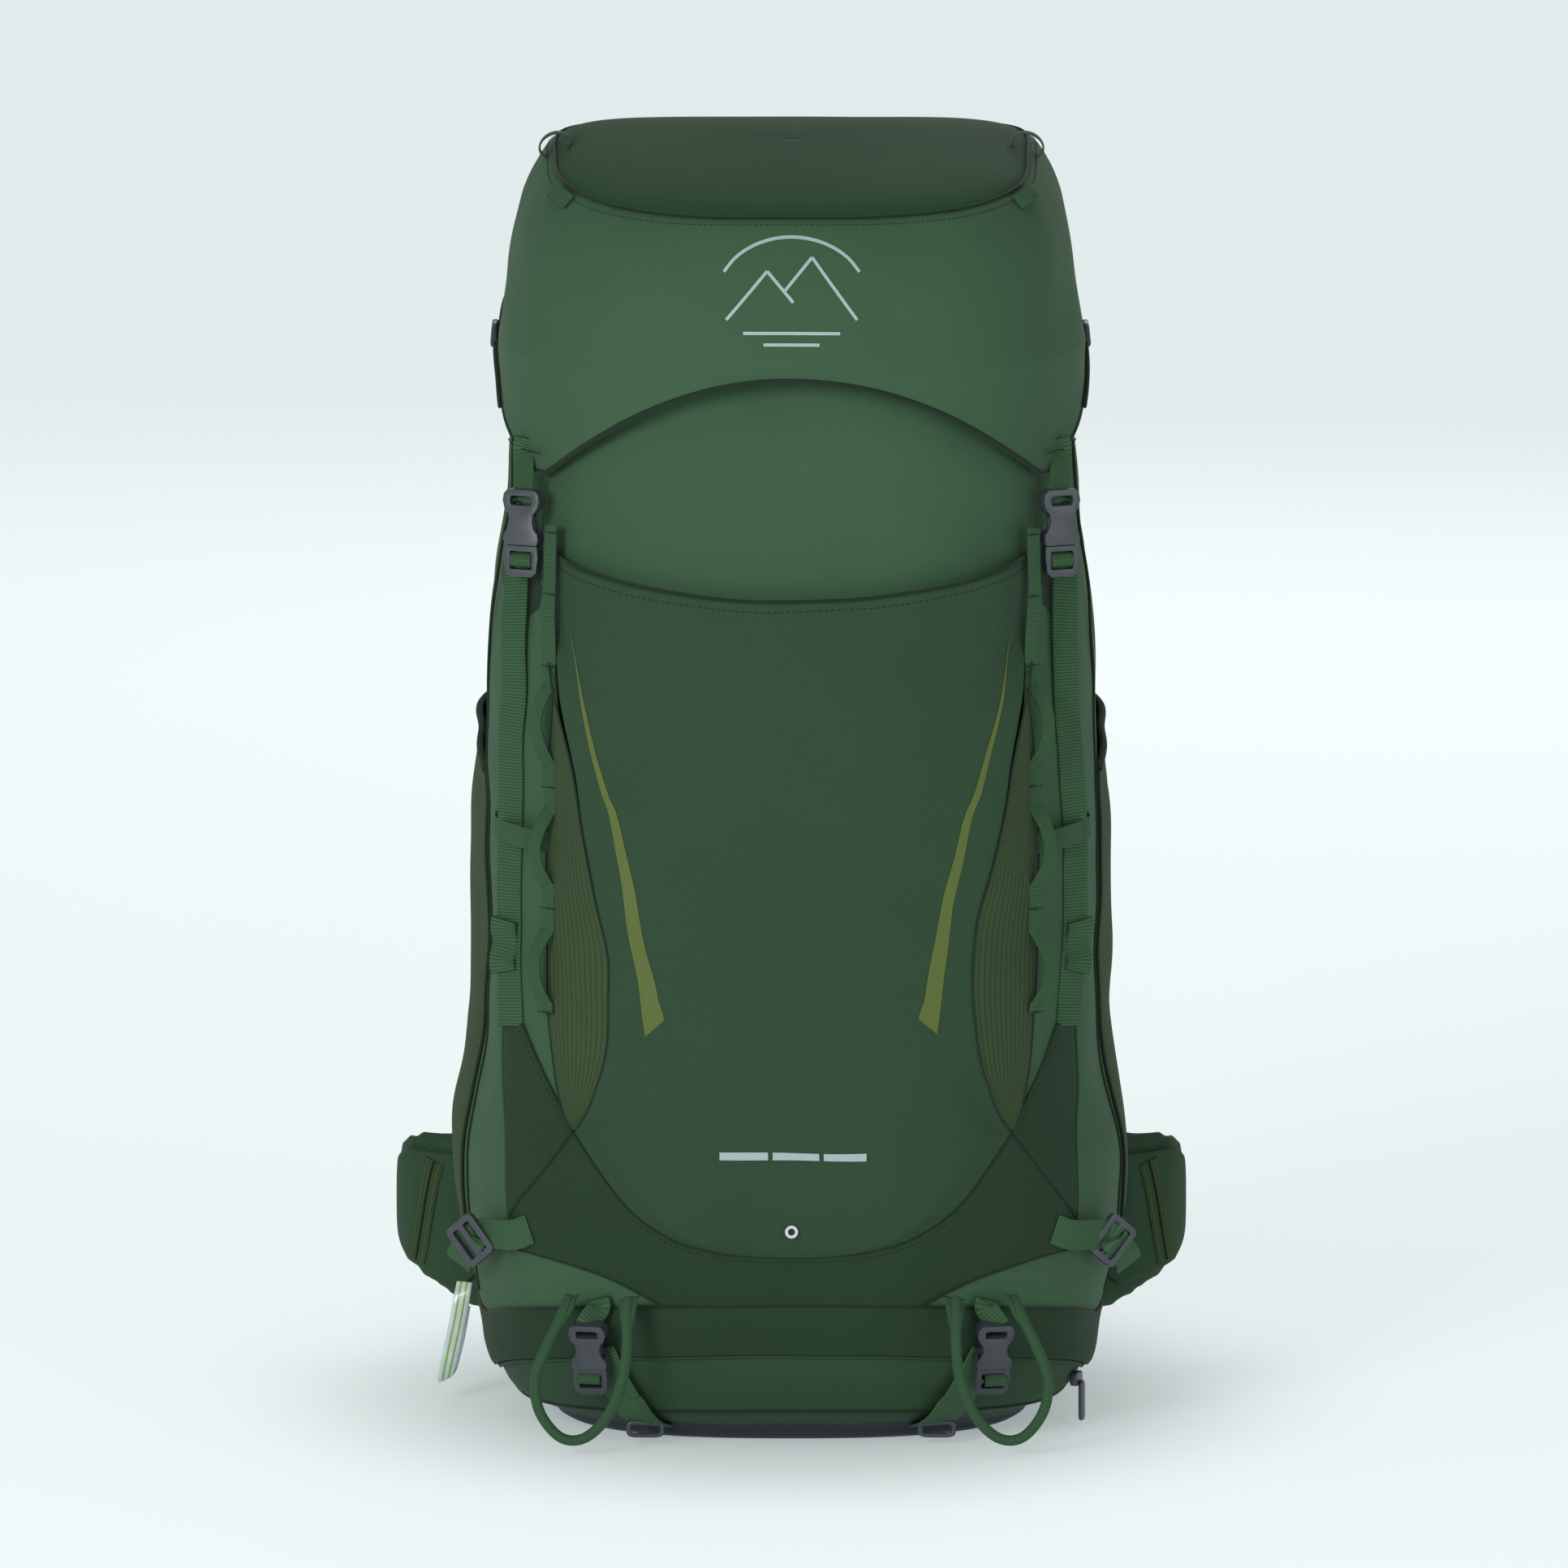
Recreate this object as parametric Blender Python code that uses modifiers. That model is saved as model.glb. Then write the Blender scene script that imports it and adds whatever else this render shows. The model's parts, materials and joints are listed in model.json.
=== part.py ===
"""Hiking backpack with a floating lid, stretch pockets, a hip belt and an adjustable harness.

Metres, +Z up, the pack's front faces -Y and its harness +Y, and it stands on its base at z = 0.
The main bag is a loft of superellipses whose half width and depth change with the height.
Everything sewn on the bag is laid on that surface at a stated lift.
"""
import math

import bmesh
import bpy
import numpy as np
from mathutils import Matrix, Vector

# Driving dimensions of the bag: height, half width, and depth of the front half.
BAG_ROWS = (
    (0.0065, 0.124, 0.112), (0.014, 0.145, 0.131), (0.030, 0.160, 0.145), (0.055, 0.1665, 0.154),
    (0.080, 0.172, 0.159), (0.105, 0.1755, 0.163), (0.150, 0.176, 0.168), (0.195, 0.169, 0.170),
    (0.260, 0.1655, 0.170), (0.360, 0.1645, 0.168), (0.430, 0.1635, 0.163), (0.460, 0.159, 0.160),
    (0.490, 0.154, 0.156), (0.550, 0.149, 0.148), (0.586, 0.142, 0.138),
)
CENTRE_Y = 0.020            # plane where the bag is widest
BACK_DEPTH = 0.085          # from that plane to the flat back
FRONT_POWER = 2.6           # superellipse powers of the front and back halves
BACK_POWER = 6.0
BAG_WALL = 0.0025
GAP = 0.0004                # clearance between touching pieces

# Lid: shoulder profile as (scale of the plan, height), and the slope of its top.
LID_HALF_WIDTH = 0.157
LID_FRONT_DEPTH = 0.160
LID_BACK_DEPTH = 0.089
LID_SHOULDER = (
    (1.0, 0.585), (0.992, 0.592), (0.975, 0.606), (0.945, 0.628), (0.890, 0.650), (0.81, 0.6655),
    (0.60, 0.672), (0.30, 0.674), (0.02, 0.6745),
)
LID_TILT = 0.12
LID_WALL = 0.003
LID_HINGE = (0.0, 0.1125, 0.600)
LID_HEM_CENTRE_Z = 0.582
LID_HEM_CORNER_Z = 0.524
LID_HEM_CORNER_X = 0.134

WEBBING = 0.0012            # thickness of the webbing
SIDE_STRAP_WIDTH = 0.015
PAD_STRAP_WIDTH = 0.018
BELT_GAP = 0.026            # distance between the undone halves of the belt buckle

HIP_HINGE = (0.104, 0.146)  # plan position of the wing roots

GREEN = (0.034, 0.088, 0.042)
DARK_GREEN = (0.020, 0.052, 0.026)
OLIVE = (0.042, 0.082, 0.030)
WEB_GREEN = (0.030, 0.084, 0.036)
SLATE = (0.038, 0.046, 0.056)
BASE_GREY = (0.026, 0.032, 0.042)
STEEL = (0.62, 0.64, 0.66)
CLEAR = (0.55, 0.62, 0.62)
FOAM = (0.028, 0.040, 0.032)

PARTS = None
CUTTERS = None


# ------------------------------------------------------------------ small helpers
def clear_scene():
    """Remove every object of the scene."""
    for item in list(bpy.data.objects):
        bpy.data.objects.remove(item, do_unlink=True)


def new_collection(name):
    """A collection linked to the scene."""
    group = bpy.data.collections.new(name)
    bpy.context.scene.collection.children.link(group)
    return group


def finish_material(item, colour, roughness, metallic=0.0):
    """Give the object its own Principled material."""
    paint = bpy.data.materials.new(item.name)
    paint.use_nodes = True
    shader = paint.node_tree.nodes["Principled BSDF"]
    shader.inputs["Base Color"].default_value = (*colour, 1.0)
    shader.inputs["Roughness"].default_value = roughness
    shader.inputs["Metallic"].default_value = metallic
    item.data.materials.clear()
    item.data.materials.append(paint)


def add_object(name, data, colour=None, roughness=0.8, metallic=0.0):
    """Link a new object to the parts, or to the cutters where it has no colour."""
    item = bpy.data.objects.new(name, data)
    (PARTS if colour else CUTTERS).objects.link(item)
    if colour:
        finish_material(item, colour, roughness, metallic)
    else:
        item.hide_render = True
        item.display_type = "WIRE"
    return item


def axis_empty(name, place, turn=(0.0, 0.0, 0.0)):
    """An empty on a joint axis."""
    item = bpy.data.objects.new(name, None)
    item.location = place
    item.rotation_euler = turn
    item.empty_display_size = 0.03
    PARTS.objects.link(item)
    return item


def hang_on(parent, *items):
    """Parent the items without moving them."""
    bpy.context.view_layer.update()
    for item in items:
        item.parent = parent
        item.matrix_parent_inverse = parent.matrix_world.inverted()


def place(item, where, right, up):
    """Put a local piece (x right, y along, z outwards) at a point of the pack."""
    right = Vector(right).normalized()
    up = Vector(up).normalized()
    out = right.cross(up).normalized()
    up = out.cross(right).normalized()
    basis = Matrix((right, up, out)).transposed().to_4x4()
    item.matrix_world = Matrix.Translation(Vector(where)) @ basis
    return item


# ------------------------------------------------------------------ the bag's surface
def eased(rows, height):
    """Smooth curve through the rows' values: cubic pieces with averaged slopes."""
    table = np.asarray(rows, float)
    knots = table[:, 0]
    height = np.clip(np.asarray(height, float), knots[0], knots[-1])
    slopes = np.gradient(table[:, 1:], knots, axis=0)
    low = np.clip(np.searchsorted(knots, height, side="right") - 1, 0, len(knots) - 2)
    step = (knots[low + 1] - knots[low])[..., None]
    share = ((height - knots[low]) / (knots[low + 1] - knots[low]))[..., None]
    start, end = table[low, 1:], table[low + 1, 1:]
    first = (1 + 2 * share) * (1 - share) ** 2 * start + share * (1 - share) ** 2 * step * slopes[low]
    second = share ** 2 * (3 - 2 * share) * end - share ** 2 * (1 - share) * step * slopes[low + 1]
    return first + second


def superellipse(angle, half_width, front, back):
    """Plan of one level: power curve with a rounder front half and a squarer back half."""
    cosine, sine = np.cos(angle), np.sin(angle)
    power = np.where(sine < 0, FRONT_POWER, BACK_POWER)
    depth = np.where(sine < 0, front, back)
    x = half_width * np.sign(cosine) * np.abs(cosine) ** (2 / power)
    y = CENTRE_Y + depth * np.sign(sine) * np.abs(sine) ** (2 / power)
    return x, y


def bag_around(height, share):
    """Point at a share of the half perimeter from the front centre (0) to the back centre (1 or -1)."""
    height, share = np.broadcast_arrays(np.asarray(height, float), np.asarray(share, float))
    angle = np.linspace(-math.pi / 2, math.pi / 2, 721)
    place_xy = np.empty(height.shape + (2,))
    for spot in np.ndindex(height.shape):
        half_width, front = eased(BAG_ROWS, height[spot])
        x, y = superellipse(angle, half_width, front, BACK_DEPTH)
        run = np.concatenate(([0.0], np.cumsum(np.hypot(np.diff(x), np.diff(y)))))
        along = abs(share[spot]) * run[-1]
        side = 1.0 if share[spot] >= 0 else -1.0
        place_xy[spot] = side * np.interp(along, run, x), np.interp(along, run, y)
    return np.concatenate([place_xy, height[..., None]], axis=-1)


def bag_front(x, height):
    """Point of the front half at a given x."""
    x, height = np.broadcast_arrays(np.asarray(x, float), np.asarray(height, float))
    size = eased(BAG_ROWS, height)
    share = np.clip(np.abs(x) / size[..., 0], 0, 0.999)
    y = CENTRE_Y - size[..., 1] * (1 - share ** FRONT_POWER) ** (1 / FRONT_POWER)
    return np.stack([x, y, height], axis=-1)


def lifted(points_of, first, second, lift):
    """Offset a two-parameter surface along its normal, which is made to point away from the pack."""
    step = 1e-4
    here = points_of(first, second)
    along = points_of(first + step, second) - points_of(first - step, second)
    across = points_of(first, second + step) - points_of(first, second - step)
    normal = np.cross(along, across)
    normal /= np.linalg.norm(normal, axis=-1, keepdims=True) + 1e-12
    away = here - np.array([0.0, CENTRE_Y, 0.0])
    normal *= np.where(np.sum(normal * away, axis=-1, keepdims=True) < 0, -1.0, 1.0)
    return here + normal * np.asarray(lift, float)[..., None], normal


def on_front(x, height, lift):
    """Front point and its normal, lifted off the bag."""
    x, height = np.broadcast_arrays(np.asarray(x, float), np.asarray(height, float))
    return lifted(bag_front, x, height, np.broadcast_to(lift, x.shape))


def on_bag(height, share, lift):
    """Point anywhere round the bag and its normal, lifted off the bag."""
    height, share = np.broadcast_arrays(np.asarray(height, float), np.asarray(share, float))
    return lifted(bag_around, height, share, np.broadcast_to(lift, height.shape))


# ------------------------------------------------------------------ makers of solids
def grid_mesh(name, points, closed=False, cap_start=False, cap_end=False):
    """Mesh of a grid of points; the first index can close round and the second can be capped."""
    count, rows = points.shape[:2]
    index = np.arange(count * rows).reshape(count, rows)
    if closed:
        index = np.vstack([index, index[:1]])
    faces = np.stack([index[:-1, :-1], index[1:, :-1], index[1:, 1:], index[:-1, 1:]], -1).reshape(-1, 4)
    faces = [tuple(face) for face in faces.tolist()]
    if cap_start:
        faces.append(tuple(reversed(index[:count, 0].tolist())))
    if cap_end:
        faces.append(tuple(index[:count, -1].tolist()))
    data = bpy.data.meshes.new(name)
    data.from_pydata([tuple(p) for p in points.reshape(-1, 3).tolist()], [], faces)
    data.validate()
    return data


def outward(data, centre):
    """Turn an open surface so that its faces point away from a point."""
    shape = bmesh.new()
    shape.from_mesh(data)
    shape.normal_update()
    centre = Vector(centre)
    total = sum((face.normal.dot(face.calc_center_median() - centre)) * face.calc_area()
                for face in shape.faces)
    if total < 0:
        bmesh.ops.reverse_faces(shape, faces=shape.faces)
    shape.to_mesh(data)
    shape.free()


def closed_outward(data):
    """Merge doubles and turn a closed solid's faces outwards."""
    shape = bmesh.new()
    shape.from_mesh(data)
    bmesh.ops.remove_doubles(shape, verts=shape.verts, dist=1e-6)
    bmesh.ops.recalc_face_normals(shape, faces=shape.faces)
    shape.to_mesh(data)
    shape.free()


def shell(name, points, thickness, colour, roughness=0.8, closed=False, offset=1.0, centre=None,
          cap_start=False):
    """A cloth panel: an open surface with Solidify, which grows away from the pack by default."""
    data = grid_mesh(name, points, closed=closed, cap_start=cap_start)
    outward(data, centre or (0.0, CENTRE_Y, float(points[..., 2].mean())))
    item = add_object(name, data, colour, roughness)
    wall = item.modifiers.new("thickness", "SOLIDIFY")
    wall.thickness = thickness
    wall.offset = offset
    wall.use_even_offset = False
    return item


def smooth_path(route, count):
    """Centripetal-free Catmull-Rom curve through a short route, read at equal steps."""
    route = np.asarray(route, float)
    padded = np.vstack([2 * route[0] - route[1], route, 2 * route[-1] - route[-2]])
    dense = []
    for k in range(len(route) - 1):
        a, b, c, d = padded[k:k + 4]
        share = np.linspace(0, 1, 24, endpoint=False)[:, None]
        dense.append(0.5 * (2 * b + (c - a) * share + (2 * a - 5 * b + 4 * c - d) * share ** 2
                            + (3 * b - a - 3 * c + d) * share ** 3))
    dense = np.vstack(dense + [route[-1:]])
    run = np.concatenate(([0.0], np.cumsum(np.linalg.norm(np.diff(dense, axis=0), axis=1))))
    steps = np.linspace(0, run[-1], count)
    return np.stack([np.interp(steps, run, dense[:, k]) for k in range(3)], axis=-1)


def ribbon(name, path, across, width, thickness, colour=WEB_GREEN, roughness=0.75):
    """A flat strap: two edges along a path, closed to a rectangular section."""
    path = np.asarray(path, float)
    across = np.broadcast_to(np.asarray(across, float), path.shape)
    across = across / np.linalg.norm(across, axis=-1, keepdims=True)
    along = np.gradient(path, axis=0)
    up = np.cross(along, across)
    up /= np.linalg.norm(up, axis=-1, keepdims=True) + 1e-12
    half = np.asarray(width, float) / 2
    half = np.broadcast_to(half, (len(path),))[:, None]
    thick = np.broadcast_to(np.asarray(thickness, float) / 2, (len(path),))[:, None]
    rim = [path - across * half - up * thick, path + across * half - up * thick,
           path + across * half + up * thick, path - across * half + up * thick]
    data = grid_mesh(name, np.stack(rim), closed=True, cap_start=True, cap_end=True)
    closed_outward(data)
    return add_object(name, data, colour, roughness)


def pad(name, path, across, width, thickness, colour, sides=12, power=3.5):
    """A padded strap: superellipse sections carried along a path, with closed ends."""
    path = np.asarray(path, float)
    across = np.broadcast_to(np.asarray(across, float), path.shape)
    across = across / np.linalg.norm(across, axis=-1, keepdims=True)
    along = np.gradient(path, axis=0)
    up = np.cross(along, across)
    up /= np.linalg.norm(up, axis=-1, keepdims=True) + 1e-12
    half = np.broadcast_to(np.asarray(width, float) / 2, (len(path),))
    thick = np.broadcast_to(np.asarray(thickness, float) / 2, (len(path),))
    angle = np.linspace(0, 2 * math.pi, sides, endpoint=False) + math.pi / sides
    side = np.sign(np.cos(angle)) * np.abs(np.cos(angle)) ** (2 / power)
    rise = np.sign(np.sin(angle)) * np.abs(np.sin(angle)) ** (2 / power)
    points = (path[None] + across[None] * (side[:, None] * half[None])[..., None]
              + up[None] * (rise[:, None] * thick[None])[..., None])
    data = grid_mesh(name, points, closed=True, cap_start=True, cap_end=True)
    closed_outward(data)
    data.shade_smooth()
    return add_object(name, data, colour, 0.85)


def tube(name, path, radius, colour, roughness=0.75):
    """A round cord or rod: a POLY curve with a bevel and filled caps."""
    line = bpy.data.curves.new(name, "CURVE")
    line.dimensions = "3D"
    line.bevel_depth = radius
    line.bevel_resolution = 2
    line.use_fill_caps = True
    strand = line.splines.new("POLY")
    strand.points.add(len(path) - 1)
    for knot, spot in zip(strand.points, path):
        knot.co = (*spot, 1.0)
    return add_object(name, line, colour, roughness)


def plate_mesh(name, loops, thickness):
    """A flat plate from outlines in its own plane: a filled 2D curve made a mesh."""
    line = bpy.data.curves.new(name, "CURVE")
    line.dimensions = "2D"
    line.fill_mode = "BOTH"
    line.extrude = thickness / 2
    for loop in loops:
        strand = line.splines.new("POLY")
        strand.points.add(len(loop) - 1)
        for knot, spot in zip(strand.points, loop):
            knot.co = (spot[0], spot[1], 0.0, 1.0)
        strand.use_cyclic_u = True
    item = bpy.data.objects.new(name + "_outline", line)
    CUTTERS.objects.link(item)
    bpy.context.view_layer.update()
    data = bpy.data.meshes.new_from_object(item.evaluated_get(bpy.context.evaluated_depsgraph_get()))
    bpy.data.objects.remove(item, do_unlink=True)
    data.name = name
    closed_outward(data)
    return data


def rounded(width, height, radius, centre=(0.0, 0.0), steps=4):
    """Outline of a rectangle with round corners."""
    outline = []
    for turn, (sx, sy) in enumerate(((1, 1), (-1, 1), (-1, -1), (1, -1))):
        middle = (centre[0] + sx * (width / 2 - radius), centre[1] + sy * (height / 2 - radius))
        for k in range(steps + 1):
            angle = math.pi / 2 * (turn + k / steps)
            outline.append((middle[0] + radius * math.cos(angle), middle[1] + radius * math.sin(angle)))
    return outline


def box_mesh(name, size, centre):
    """A box from a primitive cube."""
    data = bpy.data.meshes.new(name)
    shape = bmesh.new()
    bmesh.ops.create_cube(shape, size=1.0)
    bmesh.ops.scale(shape, vec=size, verts=shape.verts)
    bmesh.ops.translate(shape, vec=centre, verts=shape.verts)
    shape.to_mesh(data)
    shape.free()
    return data


def combine(item, tool, operation):
    """Boolean with a hidden tool that stands where the piece stands."""
    cut = item.modifiers.new(operation.lower(), "BOOLEAN")
    cut.operation = operation
    cut.solver = "EXACT"
    cut.object = tool
    tool.matrix_world = item.matrix_world


# ------------------------------------------------------------------ main bag
def make_packbag():
    """Open-topped bag: closed levels from the base ring up, with a bottom."""
    heights = np.array([row[0] for row in BAG_ROWS])
    angle = np.linspace(0, 2 * math.pi, 36, endpoint=False) + math.pi / 36
    rings = []
    low_width, low_front = eased(BAG_ROWS, heights[0])
    for scale in (0.30, 0.70):
        x, y = superellipse(angle, low_width * scale, low_front * scale, BACK_DEPTH * 0.9 * scale)
        rings.append(np.stack([x, y, np.full_like(x, heights[0])], -1))
    for height in heights:
        half_width, front = eased(BAG_ROWS, height)
        x, y = superellipse(angle, half_width, front, BACK_DEPTH * min(1.0, 0.9 + height * 5))
        rings.append(np.stack([x, y, np.full_like(x, height)], -1))
    points = np.stack(rings, axis=1)
    item = shell("packbag", points, BAG_WALL, GREEN, closed=True, offset=-1.0, cap_start=True,
                 centre=(0.0, CENTRE_Y, 0.3))
    item.data.shade_smooth()
    return item


def make_collar():
    """Drawcord collar on the bag's rim, under the lid."""
    angle = np.linspace(0, 2 * math.pi, 32, endpoint=False)
    rings = []
    for height, scale in ((BAG_ROWS[-1][0] + 0.0014, 0.985), (0.5940, 0.95), (0.600, 0.88)):
        x, y = superellipse(angle, 0.142 * scale, 0.138 * scale, BACK_DEPTH * scale)
        rings.append(np.stack([x, y, np.full_like(x, height)], -1))
    return shell("collar", np.stack(rings, axis=1), 0.0018, DARK_GREEN, closed=True, offset=-1.0)


def make_base_panel():
    """Hard-wearing dish under the bag, with the flat face that the pack stands on."""
    angle = np.linspace(0, 2 * math.pi, 40, endpoint=False)
    low = BAG_ROWS[0]
    rings = []
    for height, grow, scale in ((0.0015, -0.004, 0.35), (0.0015, -0.004, 0.75), (0.0015, -0.003, 1.0),
                                (0.0060, 0.0034, 1.0), (0.0120, 0.0, 1.0)):
        half_width, front = low[1] * scale + grow, low[2] * scale + grow
        back = BACK_DEPTH * 0.93 * scale + grow
        if height == 0.0120:
            half_width, front = eased(BAG_ROWS, height) + 0.0026
            back = BACK_DEPTH * 0.96 + 0.0026
        x, y = superellipse(angle, half_width, front, back)
        rings.append(np.stack([x, y, np.full_like(x, height)], -1))
    return shell("base_panel", np.stack(rings, axis=1), 0.0015, BASE_GREY, 0.6, closed=True,
                 offset=1.0, cap_start=True, centre=(0.0, CENTRE_Y, 0.05))


# ------------------------------------------------------------------ front pocket
POCKET_ROWS = (  # height at the centre, half width, lift of the front panel off the bag
    (0.1120, 0.036, 0.0010), (0.1200, 0.062, 0.0022), (0.1375, 0.092, 0.0042), (0.1720, 0.1165, 0.0070),
    (0.2040, 0.0985, 0.0095), (0.2360, 0.0920, 0.0115), (0.2620, 0.0905, 0.0130), (0.3330, 0.1040, 0.0140),
    (0.4010, 0.1165, 0.0130), (0.4400, 0.1280, 0.0120), (0.4615, 0.1290, 0.0110),
)
POCKET_HEM_RISE = 0.0205
GUSSET_LOW_Z = 0.1740
GUSSET_TOP_Z = 0.4060


def make_front_pocket():
    """Front panel of the stretch pocket, open at its hem."""
    height = np.array([row[0] for row in POCKET_ROWS])
    share = np.linspace(-1, 1, 15)
    size = eased(POCKET_ROWS, height)
    x = share[:, None] * size[None, :, 0]
    top = (height - height[0]) / (height[-1] - height[0])
    z = height[None] + POCKET_HEM_RISE * (top[None] ** 4) * share[:, None] ** 2
    edge = 1 - np.clip((np.abs(share[:, None]) - 0.85) / 0.15, 0, 1)
    wide = np.clip((height[None] - 0.40) / 0.03, 0, 1) + np.clip((0.19 - height[None]) / 0.03, 0, 1)
    fall = 1 - wide * (1 - edge)
    lift = 0.0008 + size[None, :, 1] * np.clip(fall, 0, 1)
    points, _ = on_front(x, z, lift)
    return shell("front_pocket", points, 0.0014, GREEN, offset=1.0)


def make_gusset(side, name):
    """Ribbed stretch panel between the pocket's front and the bag."""
    height = np.linspace(GUSSET_LOW_Z + 0.003, GUSSET_TOP_Z, 12)
    share = np.linspace(0, 1, 5)
    size = eased(POCKET_ROWS, height)
    inner = size[:, 0] + 0.0022
    bow = np.sin(math.pi * (height - GUSSET_LOW_Z) / (GUSSET_TOP_Z - GUSSET_LOW_Z))
    outer = np.maximum(inner + 0.003, 0.1185 + 0.009 * bow ** 0.6)
    x = side * (inner[None] + (outer - inner)[None] * share[:, None])
    lift = 0.0008 + size[None, :, 1] * (1 - share[:, None]) ** 0.8
    points, _ = on_front(x, np.broadcast_to(height, x.shape), lift)
    return shell(name, points, 0.0012, OLIVE, offset=1.0)


# ------------------------------------------------------------------ side pockets and base flap
SIDE_POCKET = {"low": 0.104, "high": 0.368, "front": 0.475, "back": 0.735}


def make_side_pocket(side, name):
    """Stretch pocket on the bag's side, open at its lip."""
    height = np.linspace(SIDE_POCKET["low"], SIDE_POCKET["high"], 10)
    share = np.linspace(0, 1, 11)
    across = SIDE_POCKET["front"] + (SIDE_POCKET["back"] - SIDE_POCKET["front"]) * share
    rise = (height - height[0]) / (height[-1] - height[0])
    bulge = np.sin(math.pi * share[:, None]) ** 0.6 * np.clip(rise[None] * 2.5, 0, 1) ** 0.8
    points, _ = on_bag(np.broadcast_to(height, (11, 10)), side * across[:, None], 0.0008 + 0.0068 * bulge)
    return shell(name, points, 0.0012, OLIVE, offset=1.0)


def make_base_flap():
    """Weather flap over the zip of the lower compartment, round the front of the pack."""
    share = np.linspace(-0.60, 0.60, 41)
    bend = np.clip(np.abs(share) / 0.42, 0, 1) ** 2.2
    top = 0.0815 - 0.0215 * bend
    low = 0.0545 - 0.0225 * bend
    rows = np.linspace(0, 1, 4)
    z = low[:, None] + (top - low)[:, None] * rows[None]
    lift = 0.0006 + 0.0028 * np.sin(math.pi * (0.15 + 0.85 * (1 - rows)))[None] ** 1.0
    points, _ = on_bag(z, np.broadcast_to(share[:, None], z.shape), np.broadcast_to(lift, z.shape))
    return shell("base_zip_flap", points, 0.0022, DARK_GREEN, offset=1.0)


# ------------------------------------------------------------------ webbing on the bag
def bag_strap(name, route, lift, width, count=24, colour=WEB_GREEN):
    """Webbing that follows a short route of (x, height) over the bag's front."""
    flat = smooth_path([(x, 0.0, z) for x, z in route], count)
    points, normal = on_front(flat[:, 0], flat[:, 2], lift)
    along = np.gradient(points, axis=0)
    across = np.cross(along, normal)
    return ribbon(name, points, across, width, WEBBING, colour)


def make_side_strap(side, name):
    """Lid strap from the corner wing up to the lid buckle."""
    return bag_strap(name, ((side * 0.1465, 0.228), (side * 0.1475, 0.30), (side * 0.1455, 0.38),
                            (side * 0.1425, 0.472)), 0.0016, SIDE_STRAP_WIDTH, 16)


def make_daisy_chain(side, name):
    """Narrow webbing sewn down at intervals, with a bulge at each loop."""
    z = np.linspace(0.236, 0.494, 49)
    over_hem = np.clip((z - 0.395) / 0.045, 0, 1)
    x = side * (0.1264 - 0.0040 * over_hem)
    lift = 0.0053 + 0.0049 * over_hem
    for start, end in ((0.240, 0.280), (0.302, 0.344), (0.367, 0.409)):
        inside = (z > start) & (z < end)
        lift = lift + np.where(inside, 0.0075 * np.sin(math.pi * (z - start) / (end - start)), 0)
    points, normal = on_front(x, z, lift)
    across = np.cross(np.gradient(points, axis=0), normal)
    return ribbon(name, points, across, 0.005, WEBBING)


def make_compression_strap(side, name):
    """Strap from the corner wing back through the side ladder lock to its tail."""
    return bag_strap(name, ((side * 0.1420, 0.122), (side * 0.1600, 0.107), (side * 0.1735, 0.092)),
                     0.0028, 0.016, 9)


def make_pad_strap(side, name):
    """Lower webbing of the pad strap, from the buckle down to the base."""
    return bag_strap(name, ((side * 0.1010, 0.0560), (side * 0.0930, 0.0400), (side * 0.0790, 0.0180)),
                     0.0070, PAD_STRAP_WIDTH, 10)


# ------------------------------------------------------------------ side-release buckles
def mirrored(half):
    """Closed outline from its right half, which runs bottom to top."""
    return list(half) + [(-x, y) for x, y in reversed(half)]


def socket_solid(name, width, length, colour=SLATE):
    """Socket half: mouth at y = 0, webbing slot at the top, release windows in both sides."""
    half = width / 2
    outline = mirrored([
        (half * 0.92, 0.0), (half, length * 0.10), (half * 0.96, length * 0.20), (half * 0.74, length * 0.30),
        (half * 0.66, length * 0.42), (half * 0.70, length * 0.56), (half * 0.94, length * 0.66),
        (half * 1.04, length * 0.80), (half * 0.98, length * 0.92), (half * 0.78, length)])
    slot = rounded(width * 0.62, length * 0.17, length * 0.05, (0.0, length * 0.80), 2)
    data = plate_mesh(name, [outline, slot], 0.0082)
    item = add_object(name, data, colour, 0.45)
    mouth = add_object(name + "_mouth", box_mesh(name + "_mouth", (width * 0.84, length * 1.10, 0.0044),
                                                (0.0, length * 0.01, 0.0)))
    return item, mouth


def plug_solid(name, width, length, reach, colour=SLATE):
    """Plug half: ladder-bar block below y = 0, two prongs and a tongue that reach into the socket."""
    half = width / 2
    block = mirrored([(half * 0.62, -length), (half * 0.88, -length * 0.86), (half * 0.96, -length * 0.4),
                      (half * 0.92, -GAP)])
    slot_low = rounded(width * 0.64, length * 0.22, 0.001, (0.0, -length * 0.66), 2)
    slot_high = rounded(width * 0.64, length * 0.22, 0.001, (0.0, -length * 0.30), 2)
    item = add_object(name, plate_mesh(name, [block, slot_low, slot_high], 0.0074), colour, 0.45)
    prongs = []
    for side in (-1, 1):
        prongs.append([(side * half * 0.34, -length * 0.12), (side * half * 0.62, -length * 0.12),
                       (side * half * 0.74, reach * 0.55), (side * half * 0.66, reach),
                       (side * half * 0.50, reach), (side * half * 0.52, reach * 0.5)])
    prongs.append([(-half * 0.12, -length * 0.12), (half * 0.12, -length * 0.12),
                   (half * 0.12, reach * 0.85), (-half * 0.12, reach * 0.85)])
    fork = add_object(name + "_fork", plate_mesh(name + "_fork", prongs, 0.0034))
    return item, fork


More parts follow.
